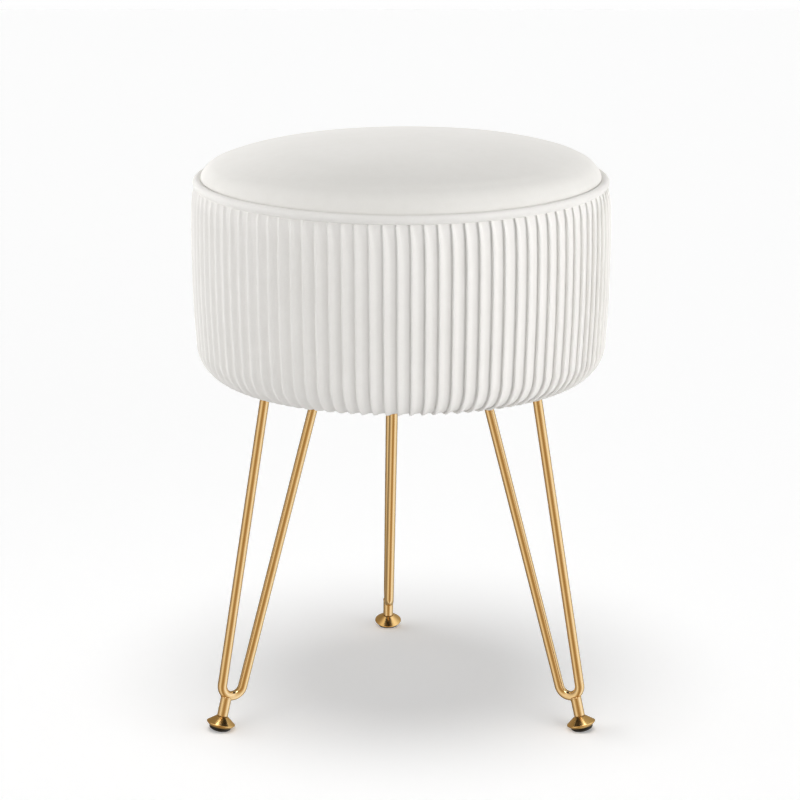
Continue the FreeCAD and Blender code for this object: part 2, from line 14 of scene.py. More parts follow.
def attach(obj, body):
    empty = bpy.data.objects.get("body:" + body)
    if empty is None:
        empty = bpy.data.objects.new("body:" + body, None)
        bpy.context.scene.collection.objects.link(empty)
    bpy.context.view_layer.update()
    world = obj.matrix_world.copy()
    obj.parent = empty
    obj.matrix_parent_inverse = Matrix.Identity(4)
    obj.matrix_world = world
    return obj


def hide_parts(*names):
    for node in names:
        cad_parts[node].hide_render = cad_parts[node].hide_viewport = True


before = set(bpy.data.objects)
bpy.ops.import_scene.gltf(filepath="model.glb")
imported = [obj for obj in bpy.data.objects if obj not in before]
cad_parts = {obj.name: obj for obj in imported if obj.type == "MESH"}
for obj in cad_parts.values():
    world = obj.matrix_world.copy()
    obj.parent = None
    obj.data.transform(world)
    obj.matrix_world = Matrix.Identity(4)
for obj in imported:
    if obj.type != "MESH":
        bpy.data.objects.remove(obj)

LOG = logging.getLogger("vanity_stool")
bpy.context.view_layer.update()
MM = 0.001
FULL_TURN = 2 * math.pi
MATH = "ShaderNodeMath"
NOISE = "ShaderNodeTexNoise"
IMAGE_PIXELS = 800
SENSOR_MM = 36.0

Pair = tuple[float, float]
Profile = list[Pair]
Colour = tuple[float, float, float, float]
Piece = bpy.types.Object
Material = bpy.types.Material
Tree = bpy.types.NodeTree
Node = bpy.types.Node
Socket = bpy.types.NodeSocket


class LegPlace(Enum):
    """The three legs, each with its name and its direction in degrees."""

    FRONT_LEFT = ("front_left", 210.0)
    FRONT_RIGHT = ("front_right", 330.0)
    BACK = ("back", 94.0)

    @property
    def label(self) -> str:
        """Name that the leg's nodes and bodies end or start with."""
        return self.value[0]

    @property
    def turn(self) -> Matrix:
        """Turn from the X axis to the leg's direction."""
        return Matrix.Rotation(math.radians(self.value[1]), 4, "Z")


# ---- colours and nodes


def linear(code: str) -> Colour:
    """Turn an sRGB hex colour into linear RGBA.

    Args:
        code: six hex digits with a leading #.

    Returns:
        The colour with an alpha of 1.
    """
    parts = [int(code[i:i + 2], 16) / 255 for i in (1, 3, 5)]
    curve = [p / 12.92 if p <= 0.04045 else ((p + 0.055) / 1.055) ** 2.4 for p in parts]
    return (*curve, 1.0)


def grey(level: float) -> Colour:
    """Give a linear grey with an alpha of 1."""
    return (level, level, level, 1.0)


def per_size(size_mm: float) -> float:
    """Give the scale of a pattern whose marks have about a size in millimetres."""
    return 1 / (size_mm * MM)


def add(tree: Tree, kind: str, inputs: dict | Sequence = (), **settings: object) -> Node:
    """Add a node with its settings, and link or set its inputs.

    Args:
        tree: node tree that gets the node.
        kind: the node's type name.
        inputs: a socket or node to link, or a value to set, for each input by its name or
            index, or for the first inputs in order. A node gives its first output in use.
        **settings: properties of the node itself.

    Returns:
        The new node.
    """
    made = tree.nodes.new(kind)
    for name, value in settings.items():
        setattr(made, name, value)
    for name, value in inputs.items() if isinstance(inputs, dict) else enumerate(inputs):
        if isinstance(value, bpy.types.Node):
            value = next(out for out in value.outputs if out.enabled)
        if isinstance(value, bpy.types.NodeSocket):
            tree.links.new(value, made.inputs[name])
        else:
            made.inputs[name].default_value = value
    return made


def empty_nodes(owner: Material | bpy.types.World) -> Tree:
    """Switch a material or a world to nodes and clear them.

    Args:
        owner: the material or world.

    Returns:
        Its empty node tree.
    """
    owner.use_nodes = True
    owner.node_tree.nodes.clear()
    return owner.node_tree


# ---- meshes


def turns(steps: int) -> list[float]:
    """Give the angles of a whole turn in equal steps, in radians."""
    return [FULL_TURN * step / steps for step in range(steps)]


def polar(radius: float, angle: float, height: float = 0.0) -> Vector:
    """Give the place at a radius, an angle from the X axis and a height."""
    return Vector((radius * math.cos(angle), radius * math.sin(angle), height))


def put(name: str, data: bpy.types.ID) -> Piece:
    """Make an object and link it to the scene.

    Args:
        name: the object's name.
        data: its mesh, light or camera.

    Returns:
        The object.
    """
    made = bpy.data.objects.new(name, data)
    bpy.context.scene.collection.objects.link(made)
    return made


def mesh_object(name: str, verts: Sequence[Sequence[float]], faces: Sequence[Sequence[int]],
                edges: Sequence[Sequence[int]] = ()) -> Piece:
    """Make a linked mesh object.

    Args:
        name: name of the object and its mesh.
        verts: points in metres.
        faces: point indices of each face.
        edges: point indices of each loose edge.

    Returns:
        The object.
    """
    mesh = bpy.data.meshes.new(name)
    mesh.from_pydata([tuple(v) for v in verts], list(edges), list(faces))
    mesh.update()
    return put(name, mesh)


def face_outwards(piece: Piece, merge: float = 1e-6) -> None:
    """Merge doubles and turn every face of a closed mesh outwards.

    Args:
        piece: the mesh object.
        merge: distance in metres under which points are merged.
    """
    work = bmesh.new()
    work.from_mesh(piece.data)
    bmesh.ops.remove_doubles(work, verts=work.verts, dist=merge)
    bmesh.ops.recalc_face_normals(work, faces=work.faces)
    for face in work.faces:
        face.smooth = True
    work.to_mesh(piece.data)
    work.free()
    piece.data.update()


def tube_faces(rows: int, around: int, joined: bool, first: int = 0) -> list[tuple[int, ...]]:
    """Give the faces between rings of points that follow each other.

    Args:
        rows: number of rings.
        around: points in each ring.
        joined: True where the last ring meets the first.
        first: index of the first ring's first point.

    Returns:
        Four point indices for each face.
    """
    faces = []
    for row in range(rows if joined else rows - 1):
        low, high = first + row * around, first + (row + 1) % rows * around
        for step in range(around):
            beside = (step + 1) % around
            faces.append((low + step, low + beside, high + beside, high + step))
    return faces


def lathe(name: str, profile: Profile, segments: int, place: Matrix | None = None) -> Piece:
    """Turn a closed outline of radius and height, in millimetres, about the Z axis.

    Args:
        name: name of the piece.
        profile: radius and height of each corner; ends on the axis, or closed as a ring.
        segments: steps round the axis.
        place: where the turned shape is put; the row's own frame if left out.

    Returns:
        The piece as a closed mesh with its place in its points.
    """
    verts = [polar(radius, angle, height) * MM
             for radius, height in profile for angle in turns(segments)]
    joined = profile[0][0] > 0 or profile[-1][0] > 0
    piece = mesh_object(name, verts, tube_faces(len(profile), segments, joined))
    face_outwards(piece, 1e-7)
    if place is not None:
        piece.data.transform(place)
    return piece


def rounded(corners: Sequence[tuple[float, float, float]], steps: int = 5) -> Profile:
    """Round the corners of an open outline with arcs.

    Args:
        corners: radius, height and rounding of each corner, in millimetres.
        steps: segments in each rounded corner.

    Returns:
        The outline with its arcs as points.
    """
    points: Profile = []
    for index, (x, y, size) in enumerate(corners):
        here = Vector((x, y))
        if size <= 0 or index in (0, len(corners) - 1):
            points.append((x, y))
            continue
        before = (Vector(corners[index - 1][:2]) - here).normalized()
        after = (Vector(corners[index + 1][:2]) - here).normalized()
        half = before.angle(after) / 2
        reach = size / math.tan(half)
        centre = here + (before + after).normalized() * (size / math.sin(half))
        start, end = here + before * reach - centre, here + after * reach - centre
        sweep = start.angle_signed(end)
        for step in range(steps + 1):
            turned = start.copy()
            turned.rotate(Matrix.Rotation(-sweep * step / steps, 2))
            points.append(tuple(centre + turned))
    return points


def keep_result(piece: Piece) -> None:
    """Replace a piece's mesh by what its modifiers make of it, and remove them.

    Args:
        piece: the mesh object.
    """
    bpy.context.view_layer.update()
    graph = bpy.context.evaluated_depsgraph_get()
    finished = bpy.data.meshes.new_from_object(piece.evaluated_get(graph), depsgraph=graph)
    piece.modifiers.clear()
    piece.data = finished


def run_tree(piece: Piece, tree: Tree, values: dict[str, object]) -> None:
    """Run a geometry tree on a piece and keep the result as its plain mesh.

    Args:
        piece: object whose mesh the tree starts from.
        tree: geometry node tree.
        values: input name to value, for every named input but the geometry.
    """
    modifier = piece.modifiers.new(tree.name, "NODES")
    modifier.node_group = tree
    for item in tree.interface.items_tree:
        if item.item_type == "SOCKET" and item.in_out == "INPUT" and item.name in values:
            modifier[item.identifier] = values[item.name]
    keep_result(piece)


def new_tree(name: str, inputs: dict[str, str]) -> tuple[Tree, bpy.types.NodeOutputs]:
    """Start a geometry tree with a geometry socket each way and named inputs.

    Args:
        name: the tree's name.
        inputs: name to type of each further input, such as Float or Material.

    Returns:
        The tree and the sockets of its inputs.
    """
    tree = bpy.data.node_groups.new(name, "GeometryNodeTree")
    sockets = tree.interface
    sockets.new_socket("Geometry", in_out="INPUT", socket_type="NodeSocketGeometry")
    for label, kind in inputs.items():
        sockets.new_socket(label, in_out="INPUT", socket_type=f"NodeSocket{kind}")
    sockets.new_socket("Geometry", in_out="OUTPUT", socket_type="NodeSocketGeometry")
    return tree, add(tree, "NodeGroupInput").outputs


def close_tree(tree: Tree, geometry: Node, material: Socket, smooth: bool = True) -> None:
    """End a geometry tree: realise its instances and dress what it made.

    Args:
        tree: the geometry tree.
        geometry: node that made the geometry.
        material: the finish.
        smooth: True to shade every face smooth.
    """
    if smooth:
        geometry = add(tree, "GeometryNodeSetShadeSmooth", {"Geometry": geometry})
    whole = add(tree, "GeometryNodeRealizeInstances", {"Geometry": geometry})
    dressed = add(tree, "GeometryNodeSetMaterial", {"Geometry": whole, "Material": material})
    add(tree, "NodeGroupOutput", {"Geometry": dressed})


def dress(piece: Piece, material: Material) -> None:
    """Give a piece one material."""
    piece.data.materials.clear()
    piece.data.materials.append(material)


def dress_nodes(names: Sequence[str], material: Material) -> None:
    """Give nodes that keep their exact CAD shape a material, and report them.

    Args:
        names: names of the nodes.
        material: their finish.
    """
    for name in names:
        dress(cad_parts[name], material)
        LOG.info("%s: dressed in %s", name, material.name)


def settle(piece: Piece, body: str, slot: str, *nodes: str) -> Piece:
    """Put a finished piece on its body, hide the CAD nodes that it stands for, and report it.

    Args:
        piece: the finished piece.
        body: body that it rides on.
        slot: material slot; not used.
        *nodes: CAD nodes that it stands for.

    Returns:
        The same piece.
    """
    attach(piece, body)
    if nodes:
        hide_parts(*nodes)
    LOG.info("%s: %d faces on %s", piece.name, len(piece.data.polygons), body)
    return piece


# ---- finishes


@dataclass(frozen=True)
class Finish:
    """A finish: one principled shader, which takes what the kind works out for it."""

    name: str

    def build(self) -> Material:
        """Make the material.

        Returns:
            The finished material.
        """
        material = bpy.data.materials.new(self.name)
        tree = empty_nodes(material)
        place = add(tree, "ShaderNodeTexCoord").outputs["Object"]
        shader = add(tree, "ShaderNodeBsdfPrincipled", self.surface(tree, place))
        add(tree, "ShaderNodeOutputMaterial", {"Surface": shader})
        return material

    def surface(self, tree: Tree, place: Socket) -> dict[str, object]:
        """Work out the shader's inputs; every kind has its own.

        Args:
            tree: the material's node tree.
            place: place on the object, in metres.

        Returns:
            Input name to a node or a value.
        """
        raise NotImplementedError


@dataclass(frozen=True)
class Velvet(Finish):
    """Woven polyester velvet with a short, dense pile, dyed off-white.

    The pile gives a soft matt face that is a little brighter where it is seen edge on, and
    faint cloudy marks where hands have laid the pile over.
    """

    light: str = "#ECEAE7"
    shade: str = "#E6E4E0"
    brush_mm: float = 70.0
    cloud_mm: float = 9.0
    pile_mm: float = 1.1
    pile_relief: Pair = (0.35, 0.15)
    sheen: float = 0.25
    # Share by which faces that turn to the front are darkened: painted shade.
    nap: float = 0.0

    def surface(self, tree: Tree, place: Socket) -> dict[str, object]:
        """Lay brush marks, clouds and pile over each other, and lean the pile.

        Args:
            tree: the material's node tree.
            place: place on the object, in metres.

        Returns:
            Input name to a node or a value.
        """
        brushed = add(tree, NOISE, {"Vector": place, "Scale": per_size(self.brush_mm)})
        cloudy = add(tree, NOISE, {"Vector": place, "Scale": per_size(self.cloud_mm),
                                   "Detail": 3.0, "Roughness": 0.6})
        # A pile tuft is about 0.3 mm across; it is drawn at 1.1 mm so that it shows.
        pile = add(tree, NOISE, {"Vector": place, "Scale": per_size(self.pile_mm),
                                 "Roughness": 0.7})
        marks = add(tree, MATH, (brushed, cloudy), operation="ADD")
        grain = add(tree, MATH, (marks, pile), operation="ADD")
        spread = add(tree, "ShaderNodeMapRange", (grain, 0.9, 2.1))
        colour = add(tree, "ShaderNodeMix", {"Factor": spread, 6: linear(self.shade),
                                             7: linear(self.light)}, data_type="RGBA")
        # Painted shade: faces that turn to the front (-Y) are drawn a little darker.
        facing = add(tree, "ShaderNodeSeparateXYZ",
                     (add(tree, "ShaderNodeTexCoord").outputs["Normal"],))
        depth = add(tree, "ShaderNodeMapRange",
                    (facing.outputs[1], -0.3, 0.0, 1.0 - self.nap, 1.0))
        front_shaded_colour = add(tree, "ShaderNodeVectorMath", {0: colour, "Scale": depth},
                     operation="SCALE")
        strength, deep = self.pile_relief
        bump = add(tree, "ShaderNodeBump",
                   {"Height": pile, "Strength": strength, "Distance": deep * MM})
        return {"Base Color": front_shaded_colour, "Roughness": 0.92, "Normal": bump,
                "Specular IOR Level": 0.15, "Sheen Weight": self.sheen,
                "Sheen Roughness": 0.5, "Sheen Tint": linear("#FFFFFF")}


@dataclass(frozen=True)
class GoldPlate(Finish):
    """Steel polished, then plated a pale satin gold.

    It gives long soft reflections with a warm tint, broken a little by a fine unevenness
    and by slight changes in gloss.
    """

    tone: str = "#E6CCA2"
    worn: str = "#DFC292"
    gloss: Pair = (0.13, 0.2)
    grain_mm: float = 0.8
    grain_relief: Pair = (0.02, 0.01)
    patch_mm: float = 14.0

    def surface(self, tree: Tree, place: Socket) -> dict[str, object]:
        """Vary tone and gloss in patches over a very fine grain.

        Args:
            tree: the material's node tree.
            place: place on the object, in metres.

        Returns:
            Input name to a node or a value.
        """
        patches = add(tree, NOISE, {"Vector": place, "Scale": per_size(self.patch_mm)})
        grain = add(tree, NOISE, {"Vector": place, "Scale": per_size(self.grain_mm)})
        colour = add(tree, "ShaderNodeMix", {"Factor": patches, 6: linear(self.worn),
                                             7: linear(self.tone)}, data_type="RGBA")
        strength, deep = self.grain_relief
        bump = add(tree, "ShaderNodeBump",
                   {"Height": grain, "Strength": strength, "Distance": deep * MM})
        return {"Base Color": colour, "Metallic": 1.0, "Normal": bump,
                "Roughness": add(tree, "ShaderNodeMapRange", (patches, 0.3, 0.7, *self.gloss))}


@dataclass(frozen=True)
class ZincPlate(Finish):
    """Zinc-plated steel of screws and studs: cool grey, with a fine spangle."""

    tone: str = "#B4B4AE"
    dull: str = "#8F908C"
    spangle_mm: float = 1.5
    gloss: Pair = (0.24, 0.4)

    def surface(self, tree: Tree, place: Socket) -> dict[str, object]:
        """Spread the spangle's crystals over tone and gloss.

        Args:
            tree: the material's node tree.
            place: place on the object, in metres.

        Returns:
            Input name to a node or a value.
        """
        cells = add(tree, "ShaderNodeTexVoronoi",
                    {"Vector": place, "Scale": per_size(self.spangle_mm)})
        colour = add(tree, "ShaderNodeMix", {"Factor": cells, 6: linear(self.tone),
                                             7: linear(self.dull)}, data_type="RGBA")
        return {"Base Color": colour, "Metallic": 1.0,
                "Roughness": add(tree, "ShaderNodeMapRange", (cells, 0.0, 1.0, *self.gloss))}


@dataclass(frozen=True)
class BlackPad(Finish):
    """Hard black rubber, moulded: nearly glossy, with a faint mould grain."""

    tone: str = "#0B0907"
    scuff: str = "#141210"
    grain_mm: float = 0.6
    grain_relief: Pair = (0.2, 0.03)
    gloss: Pair = (0.34, 0.5)

    def surface(self, tree: Tree, place: Socket) -> dict[str, object]:
        """Let one grain vary tone, gloss and height.

        Args:
            tree: the material's node tree.
            place: place on the object, in metres.

        Returns:
            Input name to a node or a value.
        """
        grain = add(tree, NOISE, {"Vector": place, "Scale": per_size(self.grain_mm),
                                  "Detail": 3.0})
        colour = add(tree, "ShaderNodeMix", {"Factor": grain, 6: linear(self.tone),
                                             7: linear(self.scuff)}, data_type="RGBA")
        strength, deep = self.grain_relief
        bump = add(tree, "ShaderNodeBump",
                   {"Height": grain, "Strength": strength, "Distance": deep * MM})
        return {"Base Color": colour, "Normal": bump, "Specular IOR Level": 0.3,
                "Roughness": add(tree, "ShaderNodeMapRange", (grain, 0.0, 1.0, *self.gloss))}


@dataclass(frozen=True)
class NeedledFelt(Finish):
    """Black needled polyester felt: matt, with matted fibres lying every way."""

    tone: str = "#1A1A1B"
    fibre: str = "#343435"
    fibre_mm: float = 1.4
    fibre_relief: Pair = (0.6, 0.3)
    lies: Pair = (0.4, 2.1)

    def surface(self, tree: Tree, place: Socket) -> dict[str, object]:
        """Cross two layers of long fibres.

        Args:
            tree: the material's node tree.
            place: place on the object, in metres.

        Returns:
            Input name to a node or a value.
        """
        layers = []
        for turn in self.lies:
            lie = add(tree, "ShaderNodeMapping",
                      {"Vector": place, "Rotation": (0.0, 0.0, turn), "Scale": (1.0, 0.15, 1.0)})
            layers.append(add(tree, NOISE, {"Vector": lie, "Scale": per_size(self.fibre_mm),
                                            "Detail": 4.0, "Roughness": 0.7}))
        mat = add(tree, MATH, layers, operation="MAXIMUM")
        colour = add(tree, "ShaderNodeMix", {"Factor": mat, 6: linear(self.tone),
                                             7: linear(self.fibre)}, data_type="RGBA")
        strength, deep = self.fibre_relief
        bump = add(tree, "ShaderNodeBump",
                   {"Height": mat, "Strength": strength, "Distance": deep * MM})
        return {"Base Color": colour, "Normal": bump, "Roughness": 0.95, "Sheen Weight": 0.1}


@dataclass(frozen=True)
class Plywood(Finish):
    """Raw birch plywood: pale veneers, with darker glue lines between them at the edges."""

    veneer: str = "#D9BF95"
    grain: str = "#C09E6C"
    veneer_mm: float = 1.5
    grain_mm: float = 2.5

    def surface(self, tree: Tree, place: Socket) -> dict[str, object]:
        """Lay long grain over the veneers' layers.

        Args:
            tree: the material's node tree.
            place: place on the object, in metres.

        Returns:
            Input name to a node or a value.
        """
        lie = add(tree, "ShaderNodeMapping", {"Vector": place, "Scale": (0.06, 1.0, 1.0)})
        fibres = add(tree, NOISE, {"Vector": lie, "Scale": per_size(self.grain_mm),
                                   "Detail": 4.0, "Distortion": 0.4})
        layers = add(tree, "ShaderNodeTexWave",
                     {"Vector": place, "Scale": 0.05 * per_size(self.veneer_mm),
                      "Distortion": 0.2}, bands_direction="Z").outputs["Fac"]
        mixed = add(tree, MATH, (fibres, layers), operation="MULTIPLY")
        colour = add(tree, "ShaderNodeMix", {"Factor": mixed, 6: linear(self.veneer),
                                             7: linear(self.grain)}, data_type="RGBA")
        return {"Base Color": colour, "Roughness": 0.7}


def swept_bar_tree() -> Tree:
    """Make the tree that sweeps a round section along the edges of a mesh.

    Returns:
        The tree, with the section's radius and sides, the ripple of its thickness and the
        number of ripples, and the material as inputs.
    """
    tree, given = new_tree("swept bar", {"Radius": "Float", "Sides": "Int", "Ripple": "Float",
                                         "Ripples": "Float", "Material": "Material"})
    path = add(tree, "GeometryNodeMeshToCurve", {"Mesh": given["Geometry"]})
    along = add(tree, "GeometryNodeSplineParameter").outputs["Factor"]
    waves = add(tree, MATH, (along, given["Ripples"]), operation="MULTIPLY")
    angle = add(tree, MATH, (waves, FULL_TURN), operation="MULTIPLY")
    wave = add(tree, MATH, (angle,), operation="SINE")
    thick = add(tree, MATH, (wave, given["Ripple"], 1.0), operation="MULTIPLY_ADD")
    sized = add(tree, "GeometryNodeSetCurveRadius", {"Curve": path, "Radius": thick})
    section = add(tree, "GeometryNodeCurvePrimitiveCircle",
                  {"Resolution": given["Sides"], "Radius": given["Radius"]})
    swept = add(tree, "GeometryNodeCurveToMesh",
                {"Curve": sized, "Profile Curve": section, "Fill Caps": True,
                 "Scale": add(tree, "GeometryNodeInputRadius")})
    close_tree(tree, swept, given["Material"])
    return tree


@dataclass
class Workshop:
    """The finishes and the shared geometry tree that the sub-assemblies use."""

    velvet: Material = field(default_factory=Velvet("short-pile velvet, off-white").build)
    # A darker copy of the velvet for the piping: painted shade.
    flat_velvet: Material = field(default_factory=Velvet(
        "short-pile velvet, painted darker", light="#E7E5E2", shade="#E1DFDB").build)
    # A lighter copy of the velvet for the seat, as painted light, with painted shade on faces
    # that turn to the front.
    seat_velvet: Material = field(default_factory=Velvet(
        "short-pile velvet, painted lighter, painted front shade", light="#F2F0EC", shade="#ECEAE5",
        nap=0.13).build)
    gold: Material = field(default_factory=GoldPlate("satin gold plating on steel").build)
    # A deeper, warmer copy of the gold for the cones: its tone is a painted reflection.
    cone_gold: Material = field(default_factory=GoldPlate(
        "gold plating on steel, painted reflection tone", tone="#E6C388", worn="#DDB676",
        gloss=(0.15, 0.2)).build)
    zinc: Material = field(default_factory=ZincPlate("zinc-plated steel").build)
    rubber: Material = field(default_factory=BlackPad("moulded black rubber").build)
    felt: Material = field(default_factory=NeedledFelt("needled felt, black").build)
    plywood: Material = field(default_factory=Plywood("raw birch plywood").build)
    bar_tree: Tree = field(default_factory=swept_bar_tree)

    def sweep(self, name: str, path: Sequence[Vector], closed: bool, radius: float,
              material: Material, sides: int = 24, ripple: float = 0.0,
              ripples: float = 0.0) -> Piece:
        """Sweep a round bar along a path.

        Args:
            name: name of the piece.
            path: points in metres.
            closed: True for a ring.
            radius: the bar's radius in metres.
            material: the bar's finish.
            sides: faces round the bar.
            ripple: change of thickness, as a share of the radius.
            ripples: number of ripples along the path.

        Returns:
            The bar as a plain mesh.
        """
        edges = [(i, i + 1) for i in range(len(path) - 1)]
        if closed:
            edges.append((len(path) - 1, 0))
        piece = mesh_object(name, path, (), edges)
        run_tree(piece, self.bar_tree,
                 {"Radius": radius, "Sides": sides, "Ripple": ripple, "Ripples": ripples,
                  "Material": material})
        face_outwards(piece)
        return piece


# ---- the seat


@dataclass
class SeamRise:
    """How the sewn seam wanders: lowest at the front, higher round the sides and back."""

    height_mm: float = 4.0
    sharpness: float = 3.0

    def at(self, angle: float) -> float:
        """Give the seam's rise in millimetres at an angle in radians from the X axis."""
        return self.height_mm * (1 - ((1 - math.sin(angle)) / 2) ** self.sharpness)


@dataclass
class SeatTop:
    """The smooth domed top, which bulges over the piping at its rim.

    The lift of each point is the seam's rise, held to the rim, and on the dome the uneven
    stuffing, a lean to the right and a dip towards the back, all faded out at the rim.
    """

    crown: tuple[Pair, ...] = (
        (0.0, 490.2), (20.0, 490.05), (40.0, 489.6), (60.0, 488.7), (80.0, 487.2),
        (100.0, 485.0), (115.0, 482.4), (128.0, 479.4), (138.0, 476.5), (146.0, 473.6),
        (152.0, 470.6), (157.0, 467.7), (161.0, 464.2), (164.2, 459.9), (166.2, 456.0),
        (166.6, 452.8), (165.6, 449.8), (163.0, 447.8))
    base_mm: float = 446.7
    base_reaches_mm: tuple[float, ...] = (150.0, 80.0, 0.0)
    segments: int = 192
    steps: int = 5
    lean_mm: float = 1.2
    dip_mm: float = 2.2
    unevenness_mm: float = 0.3
    unevenness_span_mm: float = 70.0
    rim_hold: float = 10.0
    dome_over_base_mm: float = 8.0
    fade_end: float = 1.02
    fade_rate: float = 7.0
    rise: SeamRise = field(default_factory=SeamRise)

    def outline(self) -> Profile:
        """Draw a smooth curve through the crown's points and close it underneath.

        Returns:
            The closed outline from the axis underneath, round the rim, to the crown.
        """
        line: Profile = []
        last = len(self.crown) - 1
        for index in range(last):
            before, start, end, after = (Vector(self.crown[max(0, min(last, index + k))])
                                         for k in (-1, 0, 1, 2))
            for step in range(self.steps):
                t = step / self.steps
                spot = 0.5 * ((2 * start) + (end - before) * t
                              + (2 * before - 5 * start + 4 * end - after) * t ** 2
                              + (3 * start - before - 3 * end + after) * t ** 3)
                line.append((max(0.0, spot.x), spot.y))
        line.append(self.crown[-1])
        line += [(reach, self.base_mm) for reach in self.base_reaches_mm]
        return line[::-1]

    def make(self, shop: Workshop) -> Piece:
        """Turn the dome, follow the seam, lay in the unevenness of stuffing, and dress it.

        Args:
            shop: finishes and trees.

        Returns:
            The finished piece.
        """
        piece = lathe("seat_top", self.outline(), self.segments)
        rim = self.crown[-4][0] * MM
        for vertex in piece.data.vertices:
            place = vertex.co.copy()
            reach = place.xy.length / rim
            lift = self.rise.at(math.atan2(place.y, place.x)) * min(1.0, reach) ** self.rim_hold
            if place.z > (self.base_mm + self.dome_over_base_mm) * MM:
                swell = noise.noise(place / (self.unevenness_span_mm * MM))
                fade = min(1.0, max(0.0, (self.fade_end - reach) * self.fade_rate))
                lift += swell * self.unevenness_mm * fade
                lift += self.lean_mm * place.x / rim * fade
                lift -= self.dip_mm * max(0.0, place.y / rim) ** 2 * fade
            vertex.co.z += lift * MM
        dress(piece, shop.seat_velvet)
        settle(piece, "stool", "velvet", "top_cover", "top_foam")
        return piece


@dataclass
class SeamPiping:
    """The covered cord that is sewn into the seam."""

    reach_mm: float = 169.5
    level_mm: float = 450.2
    radius_mm: float = 3.85
    points: int = 260
    sides: int = 20
    wander_mm: float = 0.1
    wanders: float = 5.0
    rise: SeamRise = field(default_factory=SeamRise)

    def make(self, shop: Workshop) -> Piece:
        """Sweep the piping round the seam.

        Args:
            shop: finishes and trees.

        Returns:
            The finished piece.
        """
        path = []
        for angle in turns(self.points):
            away = polar(1.0, angle)
            stray = noise.noise(away * self.wanders) * self.wander_mm
            level = Vector((0.0, 0.0, self.level_mm + self.rise.at(angle)))
            path.append((away * (self.reach_mm + stray) + level) * MM)
        piece = shop.sweep("seam_piping", path, True, self.radius_mm * MM, shop.flat_velvet,
                           sides=self.sides)
        return settle(piece, "stool", "velvet", "piping", "piping_cord")


